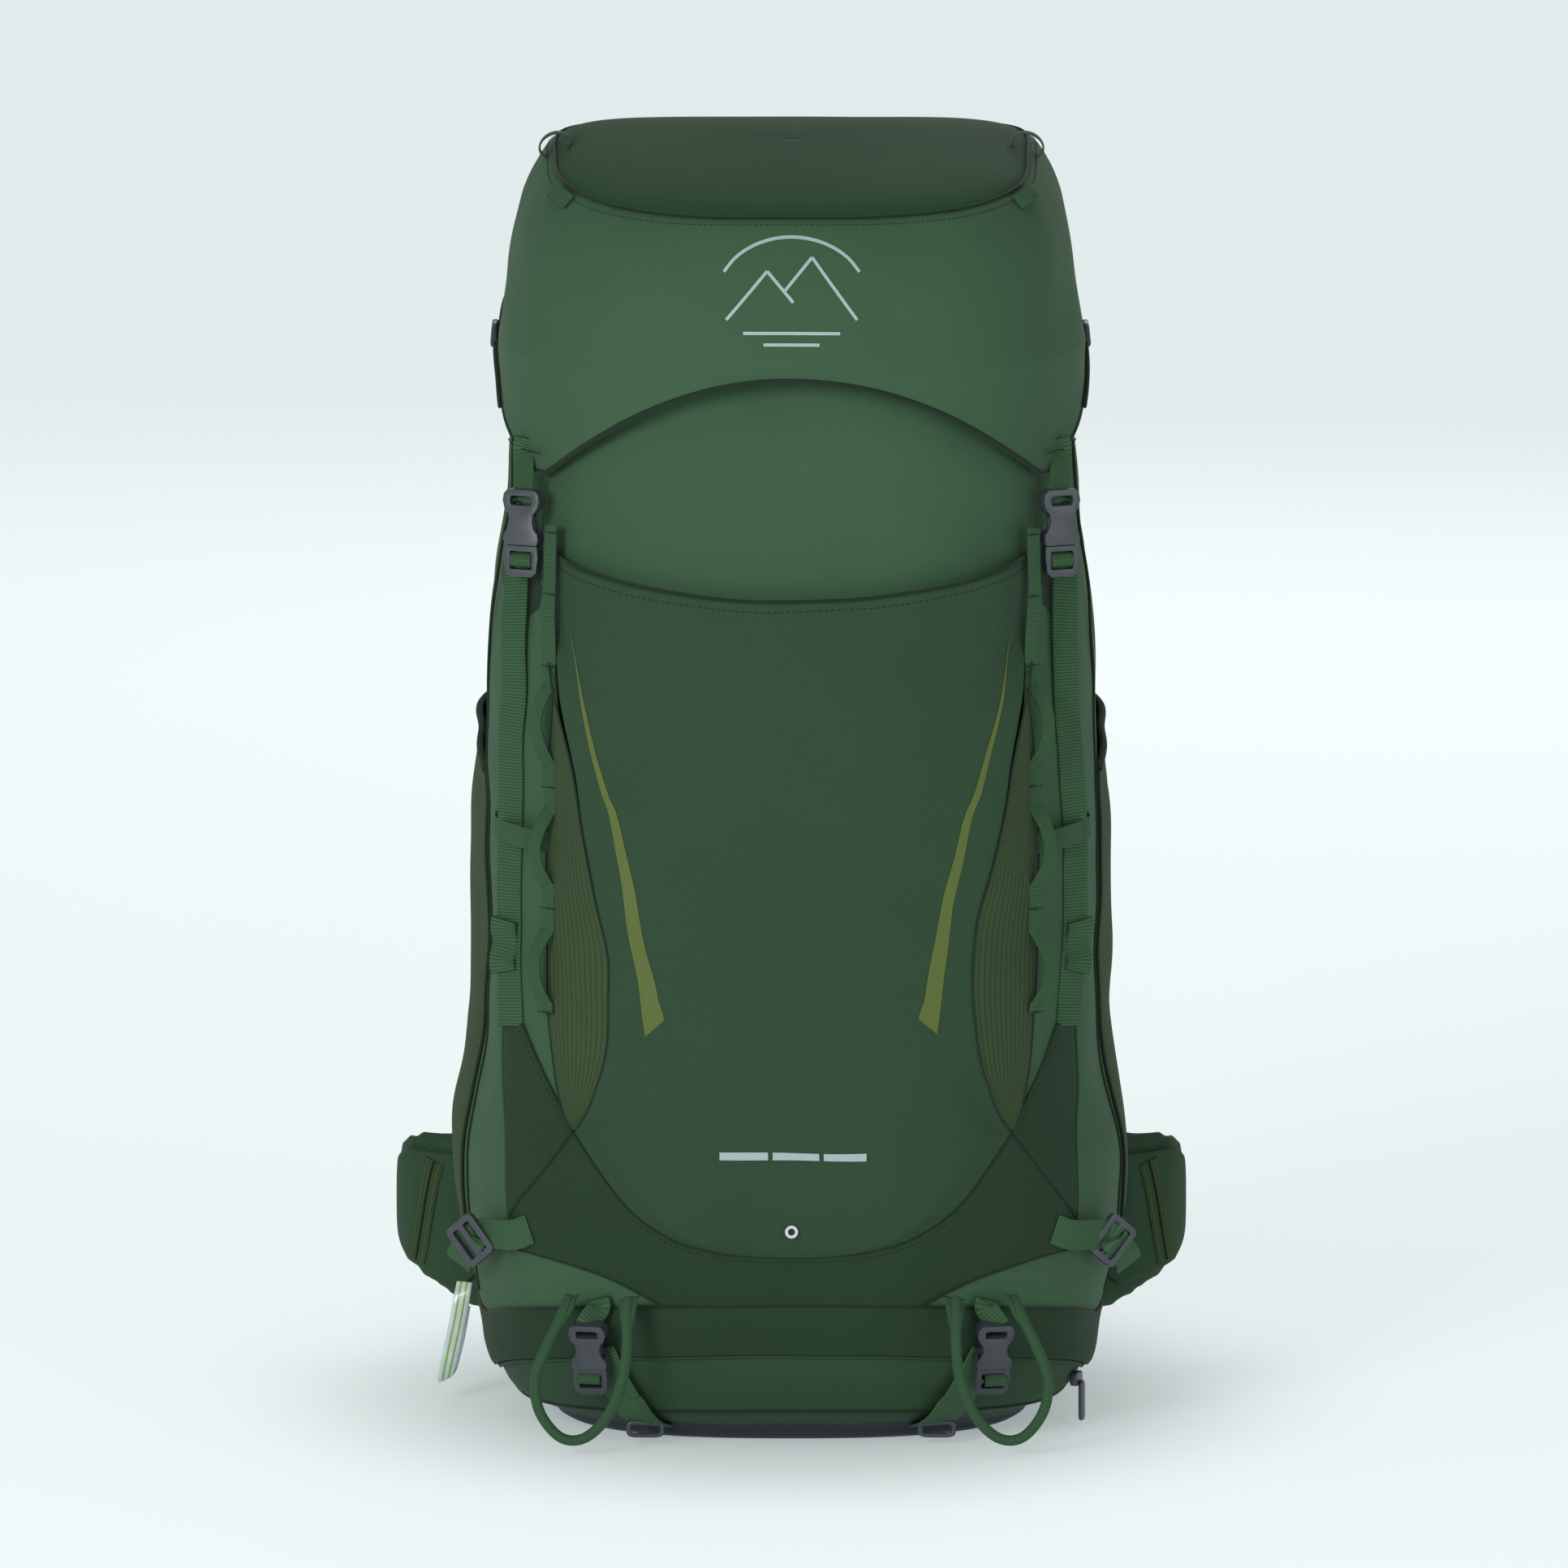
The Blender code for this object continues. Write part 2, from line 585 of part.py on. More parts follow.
def make_buckle(socket_name, plug_name, where, right, up, width, socket_length, plug_length, gap=0.0):
    """A socket and a plug on one axis; the plug slides out against +up, and stands gap away when undone."""
    socket, mouth = socket_solid(socket_name, width, socket_length)
    plug, fork = plug_solid(plug_name, width, plug_length, socket_length * 0.52)
    place(socket, where, right, up)
    place(plug, Vector(where) - gap * Vector(up).normalized(), right, up)
    bpy.context.view_layer.update()
    combine(socket, mouth, "DIFFERENCE")
    combine(plug, fork, "UNION")
    return socket, plug


def make_ladder_lock(name, where, right, up, width, height, thickness=0.0040):
    """Plain slider with a middle bar and two windows."""
    bar = 0.0034
    window = ((width - 3 * bar) / 2, height - 2 * bar)
    holes = [rounded(*window, 0.001, (side * (window[0] + bar) / 2, 0.0), 2) for side in (-1, 1)]
    item = add_object(name, plate_mesh(name, [rounded(width, height, 0.003), *holes], thickness), SLATE, 0.45)
    return place(item, where, right, up)


# ------------------------------------------------------------------ lid
def lid_hem(x, y):
    """Height of the lid's lower edge: an arc over the front, rising to the hinge at the back."""
    arc = LID_HEM_CENTRE_Z - (LID_HEM_CENTRE_Z - LID_HEM_CORNER_Z) * np.clip(
        np.abs(x) / LID_HEM_CORNER_X, 0, 1) ** 2.1
    back = np.clip((y + 0.070) / 0.150, 0, 1)
    side = LID_HEM_CORNER_Z + 0.072 * back ** 0.8
    front = np.clip((-0.050 - y) / 0.03, 0, 1)
    return front * arc + (1 - front) * side


def lid_level(angle, scale, height, tilt=1.0):
    """Plan ring of the lid at a scale, raised towards the back."""
    x, y = superellipse(angle, LID_HALF_WIDTH * scale, LID_FRONT_DEPTH * scale, LID_BACK_DEPTH * scale)
    return np.stack([x, y, height + tilt * LID_TILT * (y - CENTRE_Y + LID_FRONT_DEPTH * 0.8)], -1)


def make_lid_shell():
    """Padded top of the lid down to its hem."""
    angle = np.linspace(0, 2 * math.pi, 36, endpoint=False) + math.pi / 36
    x, y = superellipse(angle, LID_HALF_WIDTH, LID_FRONT_DEPTH, LID_BACK_DEPTH)
    hem = lid_hem(x, y)
    rings = []
    wall_top = np.maximum(0.5835, hem + 0.0012)
    for share in (0.0, 0.5):
        rings.append(np.stack([x, y, hem + (wall_top - hem) * share], -1))
    for count, (scale, height) in enumerate(LID_SHOULDER):
        fade = np.clip((height - 0.590) / 0.045, 0, 1)
        ring = lid_level(angle, scale, height, fade)
        ring[:, 2] = np.maximum(np.maximum(ring[:, 2], height), wall_top + 0.0008 * count)
        rings.append(ring)
    points = np.stack(rings, axis=1)
    data = grid_mesh("lid_shell", points, closed=True, cap_end=True)
    outward(data, (0.0, CENTRE_Y, 0.60))
    item = add_object("lid_shell", data, GREEN, 0.8)
    wall = item.modifiers.new("thickness", "SOLIDIFY")
    wall.thickness = LID_WALL
    wall.offset = -1.0
    item.data.shade_smooth()
    return item


def make_lid_floor():
    """Underside of the lid's pocket."""
    angle = np.linspace(0, 2 * math.pi, 32, endpoint=False)
    rings = []
    for scale in (0.3, 0.7, 0.925):
        x, y = superellipse(angle, LID_HALF_WIDTH * scale, LID_FRONT_DEPTH * scale, LID_BACK_DEPTH * scale)
        rings.append(np.stack([x, y, np.full_like(x, 0.6035)], -1))
    return shell("lid_floor", np.stack(rings, axis=1), 0.0015, DARK_GREEN, closed=True, offset=1.0,
                 cap_start=True, centre=(0.0, CENTRE_Y, 0.3))


def make_lash_loop(side, name):
    """Ribbed webbing loop that stands up at the lid's top corner."""
    angle = np.linspace(math.radians(205), math.radians(-25), 15)
    slope = math.radians(26)
    run, rise = 0.0085 * np.cos(angle), 0.0062 * np.sin(angle) + 0.0042
    x = 0.1255 + run * math.cos(slope) + rise * math.sin(slope)
    z = 0.6815 - run * math.sin(slope) + rise * math.cos(slope)
    path = np.stack([side * x, np.full_like(x, 0.030), z], -1)
    return ribbon(name, path, (0.0, 1.0, 0.0), 0.008, 0.0011)


# ------------------------------------------------------------------ back, hip belt and harness
def make_back_plate(name, half_width, low, high, y_front, thickness, colour, bulge=0.0):
    """A rounded plate on the flat back of the pack."""
    data = plate_mesh(name, [rounded(half_width * 2, high - low, 0.03, (0.0, 0.0), 5)], thickness)
    item = add_object(name, data, colour, 0.85)
    return place(item, (0.0, y_front + thickness / 2, (high + low) / 2), (-1, 0, 0), (0, 0, 1))


def make_frame_wire():
    """Bent wire round the frame sheet, under the back panel."""
    reach, low, high, radius = 0.112, 0.075, 0.550, 0.030
    outline = rounded(reach * 2, high - low, radius, (0.0, (high + low) / 2), 5)
    start = outline.index(max(outline, key=lambda spot: spot[1] - abs(spot[0] - 0.082) * 10))
    outline = outline[start:] + outline[:start]
    return tube("frame_wire", [(x, 0.1108, z) for x, z in outline], 0.00175, STEEL, 0.35)


def hip_route(side, count):
    """Plan route of a hip wing from its root round to its tip."""
    route = [(side * HIP_HINGE[0], HIP_HINGE[1], 0.079), (side * 0.140, 0.1445, 0.078),
             (side * 0.176, 0.152, 0.080), (side * 0.202, 0.172, 0.086), (side * 0.209, 0.205, 0.092)]
    return smooth_path(route, count)


def make_hip_wing(side, name):
    """Padded wing of the hip belt."""
    path = hip_route(side, 11)
    share = np.linspace(0, 1, len(path))
    width = np.interp(share, (0, 0.1, 0.45, 0.7, 0.88, 1), (0.106, 0.112, 0.110, 0.090, 0.064, 0.040))
    thick = np.interp(share, (0, 0.15, 0.85, 1), (0.012, 0.015, 0.013, 0.008))
    return pad(name, path, (0.0, 0.0, 1.0), width, thick, DARK_GREEN, 14, 4.0)


def make_hip_pocket(side, name):
    """Zipped pocket on the outer face of the wing."""
    path = hip_route(side, 21)[9:17]
    along = np.gradient(path, axis=0)
    out = np.cross(along, (0.0, 0.0, 1.0)) * side
    out /= np.linalg.norm(out, axis=1, keepdims=True)
    share = np.linspace(0, 1, len(path))
    width = np.interp(share, (0, 0.2, 0.8, 1), (0.050, 0.072, 0.062, 0.044))
    thick = np.interp(share, (0, 0.3, 0.7, 1), (0.003, 0.0060, 0.0060, 0.003))
    centre = path + out * (0.0076 + thick[:, None] / 2)
    return pad(name, centre, (0.0, 0.0, 1.0), width, thick, OLIVE, 10, 3.0)


def make_hip_strap(side, name):
    """Belt webbing from the wing's tip to the buckle, which is undone."""
    end = -0.0306 if side < 0 else 0.0305 + BELT_GAP
    route = [(side * 0.2085, 0.2065, 0.092), (side * 0.196, 0.228, 0.092), (side * 0.150, 0.2405, 0.091),
             (side * 0.090, 0.2445, 0.090), (end, 0.2460, 0.090)]
    return ribbon(name, smooth_path(route, 15), (0.0, 0.0, 1.0), 0.025, 0.0014)


def make_shoulder_strap(side, name):
    """Padded strap from the yoke over the wearer's shoulder and down."""
    route = [(side * 0.036, 0.1470, 0.470), (side * 0.040, 0.1490, 0.505), (side * 0.046, 0.1600, 0.532),
             (side * 0.054, 0.1760, 0.535), (side * 0.062, 0.1870, 0.510), (side * 0.072, 0.1880, 0.450),
             (side * 0.084, 0.1820, 0.370), (side * 0.096, 0.1740, 0.290), (side * 0.104, 0.1690, 0.215)]
    path = smooth_path(route, 20)
    share = np.linspace(0, 1, len(path))
    width = np.interp(share, (0, 0.2, 0.7, 0.93, 1), (0.050, 0.058, 0.060, 0.044, 0.028))
    thick = np.interp(share, (0, 0.15, 0.9, 1), (0.008, 0.011, 0.010, 0.006))
    return pad(name, path, (1.0, 0.0, 0.0), width, thick, FOAM, 12, 3.5)


def make_load_strap(side, name):
    """Lower adjusting webbing of the shoulder strap, from its anchor on the back panel."""
    route = [(side * 0.118, 0.1290, 0.150), (side * 0.114, 0.1440, 0.168), (side * 0.110, 0.1590, 0.195),
             (side * 0.106, 0.1605, 0.235), (side * 0.102, 0.1610, 0.280)]
    return ribbon(name, smooth_path(route, 12), (1.0, 0.0, 0.0), 0.019, 0.0012)


def make_sternum_half(side, name):
    """Half of the chest strap with its piece of the buckle."""
    route = [(side * 0.098, 0.1945, 0.405), (side * 0.070, 0.1975, 0.405), (side * 0.036, 0.2000, 0.405),
             (side * 0.0180, 0.2005, 0.405)]
    return ribbon(name, smooth_path(route, 9), (0.0, 0.0, 1.0), 0.019, 0.0012)


# ------------------------------------------------------------------ assembly
def tool_loop_route(side):
    """Hanging loop of round webbing beside the pad-strap buckle."""
    return [(side * 0.1190, -0.1290, 0.0840), (side * 0.1225, -0.1372, 0.0765),
            (side * 0.1310, -0.1440, 0.0600), (side * 0.1372, -0.1460, 0.0430),
            (side * 0.1350, -0.1465, 0.0250), (side * 0.1240, -0.1465, 0.0110),
            (side * 0.1110, -0.1470, 0.0105), (side * 0.0985, -0.1500, 0.0230),
            (side * 0.0905, -0.1540, 0.0430), (side * 0.0880, -0.1560, 0.0620),
            (side * 0.0880, -0.1520, 0.0770), (side * 0.0875, -0.1452, 0.0860)]


def make_lid_parts():
    """Lid shell, floor, loops and buckle sockets, turning on the rear top edge."""
    hinge = axis_empty("lid_axis", LID_HINGE)
    pieces = [make_lid_shell(), make_lid_floor()]
    for side, word in ((-1, "left"), (1, "right")):
        pieces.append(make_lash_loop(side, f"lash_loop_{word}"))
        turn = math.radians(24) * side
        spot = (side * 0.1435, -0.0900, 0.4860)
        right = (math.cos(turn), math.sin(turn), 0.0)
        socket, _ = make_buckle(f"lid_socket_{word}", f"lid_plug_{word}", spot, right,
                                (-side * 0.05, 0.0, 1.0), 0.0205, 0.0300, 0.0170)
        pieces.append(socket)
    hang_on(hinge, *pieces)


def make_pad_parts():
    """Pad straps with their buckles and the hanging tool loops."""
    for side, word in ((-1, "left"), (1, "right")):
        spot, _ = on_front(side * 0.1005, 0.0500, 0.0160)
        turn = math.radians(14) * side
        right = (math.cos(turn), math.sin(turn), 0.0)
        make_buckle(f"pad_socket_{word}", f"pad_plug_{word}", spot, right,
                    (side * 0.10, -0.28, 1.0), 0.0195, 0.0255, 0.0150)
        make_pad_strap(side, f"pad_strap_{word}")
        tube(f"tool_loop_{word}", smooth_path(tool_loop_route(side), 24), 0.0029, WEB_GREEN)


def make_side_parts():
    """Side pockets, straps, daisy chains and compression straps."""
    for side, word in ((-1, "left"), (1, "right")):
        make_gusset(side, f"pocket_gusset_{word}")
        make_side_pocket(side, f"side_pocket_{word}")
        make_side_strap(side, f"side_strap_{word}")
        make_daisy_chain(side, f"daisy_chain_{word}")
        make_compression_strap(side, f"compression_strap_{word}")
        spot, normal = on_front(side * 0.1600, 0.1075, 0.0135)
        normal = normal + (0.0, -1.3, 0.0)
        normal /= np.linalg.norm(normal)
        right = np.cross((0.0, 0.0, 1.0), normal)
        tilt = math.radians(40) * side
        up = np.array((0.0, 0.0, 1.0)) * math.cos(tilt) + right * math.sin(tilt)
        across = np.cross(up, normal)
        make_ladder_lock(f"ladder_lock_{word}", spot, across, up, 0.0190, 0.0250)


def make_eyelet():
    """Turned drain eyelet low on the front pocket."""
    spot, normal = on_front(np.float64(0.0), np.float64(0.1240), np.float64(0.0058))
    data = bpy.data.meshes.new("eyelet")
    shape = bmesh.new()
    profile = [(0.0019, 0.0008), (0.0035, 0.0008), (0.0035, 0.0), (0.0019, 0.0)]
    knots = [shape.verts.new((x, 0.0, z)) for x, z in profile]
    for k in range(len(knots)):
        shape.edges.new((knots[k], knots[(k + 1) % len(knots)]))
    shape.to_mesh(data)
    shape.free()
    item = add_object("eyelet", data, STEEL, 0.3, 1.0)
    turned = item.modifiers.new("turned", "SCREW")
    turned.axis = "Z"
    turned.steps = 20
    turned.render_steps = 20
    turned.use_merge_vertices = True
    turned.merge_threshold = 0.00001
    place(item, spot, np.cross((0.0, 0.0, 1.0), normal), (0.0, 0.0, 1.0))


def make_zip_parts():
    """Slider and puller of the lower compartment's zip, at its right-hand end."""
    spot, normal = on_front(np.float64(0.1500), np.float64(0.0275), np.float64(0.0040))
    along = np.cross(normal, (0.0, 0.0, 1.0))
    along /= np.linalg.norm(along)
    slider = add_object("zip_slider", plate_mesh("zip_slider", [rounded(0.011, 0.0075, 0.002)], 0.0040), SLATE)
    place(slider, spot, -along, (0.0, 0.0, 1.0))
    pivot = np.asarray(spot) + normal * 0.0036 + np.array((0, 0, 0.0005))
    outline = [(x, y - 0.0106) for x, y in rounded(0.0060, 0.022, 0.0025)]
    puller = add_object("zip_puller", plate_mesh("zip_puller", [outline], 0.0022), SLATE)
    place(puller, pivot, -along, (0.0, 0.0, 1.0))
    return spot, along, pivot, normal


def make_pole_loop():
    """Clear strap loop for a walking pole's tip, low on the left."""
    route = [(-0.1765, 0.0250, 0.0655), (-0.1780, 0.0215, 0.0580), (-0.1810, 0.0200, 0.0420),
             (-0.1845, 0.0200, 0.0260), (-0.1870, 0.0235, 0.0150), (-0.1870, 0.0310, 0.0120),
             (-0.1850, 0.0380, 0.0170), (-0.1810, 0.0420, 0.0330), (-0.1780, 0.0420, 0.0500)]
    path = smooth_path(route, 24)
    return ribbon("pole_loop", path, (0.90, 0.0, 0.42), 0.0090, 0.0014, CLEAR, 0.3)


def make_back_parts():
    """Frame, back panel, lumbar pad and haul handle."""
    make_back_plate("frame_sheet", 0.118, 0.065, 0.562, 0.1058, 0.0016, FOAM)
    make_frame_wire()
    make_back_plate("back_panel", 0.128, 0.055, 0.570, 0.1130, 0.0130, FOAM)
    make_back_plate("lumbar_pad", 0.098, 0.022, 0.155, 0.1265, 0.0160, FOAM)
    route = [(-0.046, 0.1300, 0.556), (-0.044, 0.1330, 0.572), (-0.030, 0.1370, 0.5885),
             (0.030, 0.1370, 0.5885), (0.044, 0.1330, 0.572), (0.046, 0.1300, 0.556)]
    tube("haul_handle", smooth_path(route, 20), 0.0036, WEB_GREEN)


def make_belt_parts():
    """Hip wings on upright hinges, with pockets, webbing and the belt buckle."""
    for side, word in ((-1, "left"), (1, "right")):
        root = axis_empty(f"hip_axis_{word}", (side * HIP_HINGE[0], HIP_HINGE[1], 0.08))
        pieces = [make_hip_wing(side, f"hip_wing_{word}"), make_hip_pocket(side, f"hip_pocket_{word}"),
                  make_hip_strap(side, f"hip_strap_{word}")]
        hang_on(root, *pieces)
    socket, plug = make_buckle("hip_socket", "hip_plug", (0.0040, 0.2460, 0.0900), (0.0, 0.0, 1.0),
                               (-1.0, 0.0, 0.0), 0.030, 0.034, 0.026, BELT_GAP)
    hang_on(bpy.data.objects["hip_axis_left"], socket)
    hang_on(bpy.data.objects["hip_axis_right"], plug)


def make_harness_parts():
    """Yoke, shoulder straps and chest strap, sliding up and down the back panel."""
    rail = axis_empty("torso_axis", (0.0, 0.1320, 0.430))
    yoke = make_back_plate("harness_yoke", 0.064, 0.370, 0.515, 0.1268, 0.0130, FOAM)
    straps = []
    for side, word in ((-1, "left"), (1, "right")):
        straps.append(make_shoulder_strap(side, f"shoulder_strap_{word}"))
        straps.append(make_sternum_half(side, f"sternum_strap_{word}"))
        make_load_strap(side, f"load_strap_{word}")
    socket, plug = make_buckle("sternum_socket", "sternum_plug", (0.0020, 0.2005, 0.4050),
                               (0.0, 0.0, 1.0), (-1.0, 0.0, 0.0), 0.022, 0.0195, 0.0155)
    hang_on(rail, yoke, *straps, socket, plug)


def main():
    global PARTS, CUTTERS
    clear_scene()
    PARTS = new_collection("hiking_backpack")
    CUTTERS = new_collection("cutters")
    make_packbag()
    make_collar()
    make_base_panel()
    make_front_pocket()
    make_base_flap()
    make_side_parts()
    make_eyelet()
    make_pad_parts()
    make_lid_parts()
    make_zip_parts()
    make_pole_loop()
    make_back_parts()
    make_belt_parts()
    make_harness_parts()


main()
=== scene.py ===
"""Looks of the hiking backpack: cloth, webbing, mesh and moulded pieces round the packed frame.

Every new piece is a surface of two parameters worked out with numpy. Metres, +Z up, front towards -Y.
"""
import json
import math

import bmesh
import bpy
import numpy as np
from bpy.props import FloatProperty, FloatVectorProperty, IntProperty
from mathutils import Matrix, Vector

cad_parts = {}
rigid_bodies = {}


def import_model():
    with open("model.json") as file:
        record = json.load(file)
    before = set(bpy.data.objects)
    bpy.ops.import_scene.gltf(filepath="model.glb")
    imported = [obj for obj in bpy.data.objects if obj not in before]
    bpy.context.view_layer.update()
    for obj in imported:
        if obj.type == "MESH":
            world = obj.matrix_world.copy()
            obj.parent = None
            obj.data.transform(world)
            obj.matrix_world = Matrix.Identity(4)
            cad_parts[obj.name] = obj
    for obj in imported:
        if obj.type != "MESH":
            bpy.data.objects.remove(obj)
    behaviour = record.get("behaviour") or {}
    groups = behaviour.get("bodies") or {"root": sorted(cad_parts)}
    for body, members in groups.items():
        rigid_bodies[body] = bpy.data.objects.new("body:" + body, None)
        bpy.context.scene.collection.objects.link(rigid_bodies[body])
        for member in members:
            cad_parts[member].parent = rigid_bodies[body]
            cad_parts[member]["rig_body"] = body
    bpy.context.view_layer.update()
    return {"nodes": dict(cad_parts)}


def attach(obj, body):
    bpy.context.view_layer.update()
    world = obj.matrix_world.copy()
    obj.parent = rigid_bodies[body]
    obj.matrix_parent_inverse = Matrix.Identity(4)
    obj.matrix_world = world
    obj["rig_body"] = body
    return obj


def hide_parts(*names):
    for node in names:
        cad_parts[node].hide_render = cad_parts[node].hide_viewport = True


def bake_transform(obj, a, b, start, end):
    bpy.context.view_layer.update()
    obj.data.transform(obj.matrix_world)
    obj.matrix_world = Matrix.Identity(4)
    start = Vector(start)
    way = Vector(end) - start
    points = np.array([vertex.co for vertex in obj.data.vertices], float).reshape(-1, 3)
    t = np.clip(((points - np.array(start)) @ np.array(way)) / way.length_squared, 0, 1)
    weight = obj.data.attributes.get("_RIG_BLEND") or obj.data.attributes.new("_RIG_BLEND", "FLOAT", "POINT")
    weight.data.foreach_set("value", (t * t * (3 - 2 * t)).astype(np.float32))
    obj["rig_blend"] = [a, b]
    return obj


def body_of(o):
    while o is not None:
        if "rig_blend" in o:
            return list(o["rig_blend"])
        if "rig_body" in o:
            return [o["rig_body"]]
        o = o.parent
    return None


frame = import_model()

bl_info = {
    "name": "Hiking backpack",
    "version": (1, 0, 0),
    "blender": (4, 5, 0),
    "location": "View3D > Sidebar > Backpack",
    "description": "Builds the cloth, webbing and hardware of a hiking backpack",
    "category": "Object",
}

TAU = 2 * math.pi
SIDES = ((-1, "left"), (1, "right"))

# ------------------------------------------------------------------ the bag's form
# Height, half width, and depth of the front half of the bag.
BAG_ROWS = (
    (0.0065, 0.124, 0.112), (0.014, 0.145, 0.131), (0.030, 0.160, 0.145), (0.055, 0.1665, 0.154),
    (0.080, 0.172, 0.159), (0.105, 0.1755, 0.163), (0.150, 0.176, 0.168), (0.195, 0.169, 0.170),
    (0.260, 0.1655, 0.170), (0.360, 0.1645, 0.168), (0.430, 0.1635, 0.163), (0.460, 0.159, 0.160),
    (0.490, 0.154, 0.156), (0.550, 0.149, 0.148), (0.586, 0.142, 0.138),
)
CENTRE_Y = 0.020
BACK_DEPTH = 0.085
FRONT_POWER = 2.6
BACK_POWER = 6.0

# Front pocket: height and half width below and above the point where its seams cross.
CROSS_Z = 0.1720
POCKET_HIGH = (
    (0.1720, 0.1172), (0.1880, 0.1060), (0.2040, 0.0985), (0.2360, 0.0920), (0.2620, 0.0905),
    (0.3330, 0.1040), (0.4010, 0.1165), (0.4430, 0.1280), (0.4615, 0.1300),
)
POCKET_LIFT = (
    (0.1085, 0.0012), (0.1375, 0.0048), (0.1720, 0.0078), (0.2360, 0.0120), (0.3330, 0.0142),
    (0.4010, 0.0134), (0.4615, 0.0116),
)
POCKET_HEM_RISE = 0.0205

# Lid: plan size, shoulder (scale of the plan, height) and slope of the top.
LID_HALF_WIDTH = 0.157
LID_FRONT_DEPTH = 0.160
LID_BACK_DEPTH = 0.089
LID_SHOULDER = (
    (0.0, 1.0, 0.585), (0.08, 0.992, 0.592), (0.20, 0.975, 0.606), (0.34, 0.945, 0.628), (0.48, 0.890, 0.650),
    (0.62, 0.81, 0.6655), (0.78, 0.60, 0.672), (0.90, 0.30, 0.674), (1.0, 0.0, 0.6745),
)
LID_SEAM = 0.615            # share of the shoulder curve where the top panel is sewn in
LID_TILT = 0.12
LID_HEM_CENTRE_Z = 0.582
LID_HEM_CORNER_Z = 0.524
LID_HEM_CORNER_X = 0.134

HIP_HINGE = (0.104, 0.146)  # plan position of the wing roots

# Hollow in the bag's skin behind each lid buckle: x, z, their spreads, and depth.
PLUG_HOLLOW = (0.146, 0.464, 0.024, 0.044, 0.0028)
LINING_DEPTH = 0.0022

# Camera: target, distance, rise above level, focal length and sensor width in mm.
VIEW_TARGET = (-0.004, 0.0, 0.342)
VIEW_DISTANCE = 18.76
VIEW_RISE = math.radians(9)
VIEW_LENS = 800
VIEW_SENSOR = 36


class BackpackSizes(bpy.types.PropertyGroup):
    """Sizes of the cloth and webbing patterns."""
    weave: FloatProperty(name="Weave", description="Pitch of the cloth's weave", default=0.0011,
                         unit="LENGTH")
    rib: FloatProperty(name="Webbing rib", description="Pitch of the webbing's ribs", default=0.0017,
                       unit="LENGTH")
    knit: FloatProperty(name="Knit rib", description="Pitch of the stretch panels' ribs", default=0.0026,
                        unit="LENGTH")
    stitch: FloatProperty(name="Stitch", description="Length from one stitch to the next", default=0.0034,
                          unit="LENGTH")
    detail: IntProperty(name="Detail", description="Grid steps across a large panel", default=220, min=40)


class BackpackColours(bpy.types.PropertyGroup):
    """Colours of the finishes, as linear values."""
    cloth: FloatVectorProperty(name="Cloth", description="Main panels", subtype="COLOR", size=3,
                               default=(0.0420, 0.0960, 0.0490))
    dark: FloatVectorProperty(name="Dark cloth", description="Corner panels, flap and belt", subtype="COLOR",
                              size=3, default=(0.0165, 0.0390, 0.0195))
    knit: FloatVectorProperty(name="Knit", description="Stretch panels", subtype="COLOR", size=3,
                              default=(0.0390, 0.0680, 0.0280))
    webbing: FloatVectorProperty(name="Webbing", description="Straps and loops", subtype="COLOR", size=3,
                                 default=(0.0350, 0.0880, 0.0400))
    plastic: FloatVectorProperty(name="Plastic", description="Buckles and sliders", subtype="COLOR", size=3,
                                 default=(0.0330, 0.0400, 0.0490))
    base: FloatVectorProperty(name="Base", description="Base panel", subtype="COLOR", size=3,
                              default=(0.0280, 0.0330, 0.0420))
    flash: FloatVectorProperty(name="Stripe", description="Tapered stripes", subtype="COLOR", size=3,
                               default=(0.0780, 0.1120, 0.0110))
    mark: FloatVectorProperty(name="Mark", description="Printed marks", subtype="COLOR", size=3,
                              default=(0.3400, 0.4300, 0.4300))
    foam: FloatVectorProperty(name="Air mesh", description="Harness and back panel", subtype="COLOR", size=3,
                              default=(0.0220, 0.0400, 0.0280))


def sizes():
    """Sizes set on the scene."""
    return bpy.context.scene.backpack_sizes


def colours():
    """Colours set on the scene."""
    return bpy.context.scene.backpack_colours


# ------------------------------------------------------------------ shader maths
class Value:
    """A socket in a node tree, on which Python's operators add Math nodes."""

    def __init__(self, tree, socket):
        self.tree, self.socket = tree, socket

    def math(self, operation, *others):
        return node(self.tree, "ShaderNodeMath", {"operation": operation}, self, *others)

    def __add__(self, other): return self.math("ADD", other)
    def __radd__(self, other): return self.math("ADD", other)
    def __sub__(self, other): return self.math("SUBTRACT", other)

    def __rsub__(self, other):
        return node(self.tree, "ShaderNodeMath", {"operation": "SUBTRACT"}, other, self)

    def __mul__(self, other): return self.math("MULTIPLY", other)
    def __rmul__(self, other): return self.math("MULTIPLY", other)
    def __pow__(self, other): return self.math("POWER", other)
    def sin(self): return self.math("SINE")
    def abs(self): return self.math("ABSOLUTE")

    def clamp(self):
        return node(self.tree, "ShaderNodeMath", {"operation": "ADD", "use_clamp": True}, self, 0.0)


def node(tree, kind, settings=None, *inputs, out=0, **named):
    """Add any node: its settings first, then the values or links of its sockets, and wrap one output."""
    made = tree.nodes.new(kind)
    for key, setting in (settings or {}).items():
        setattr(made, key, setting)
    pairs = list(enumerate(inputs)) + [(key.replace("_", " "), value) for key, value in named.items()]
    for key, value in pairs:
        if value is None:
            continue
        if isinstance(value, Value):
            tree.links.new(value.socket, made.inputs[key])
        else:
            made.inputs[key].default_value = value
    return Value(tree, made.outputs[out])


def blank(name):
    """A material with its Principled shader, ready for a pattern."""
    paint = bpy.data.materials.new(name)
    paint.use_nodes = True
    return paint, paint.node_tree, paint.node_tree.nodes["Principled BSDF"]


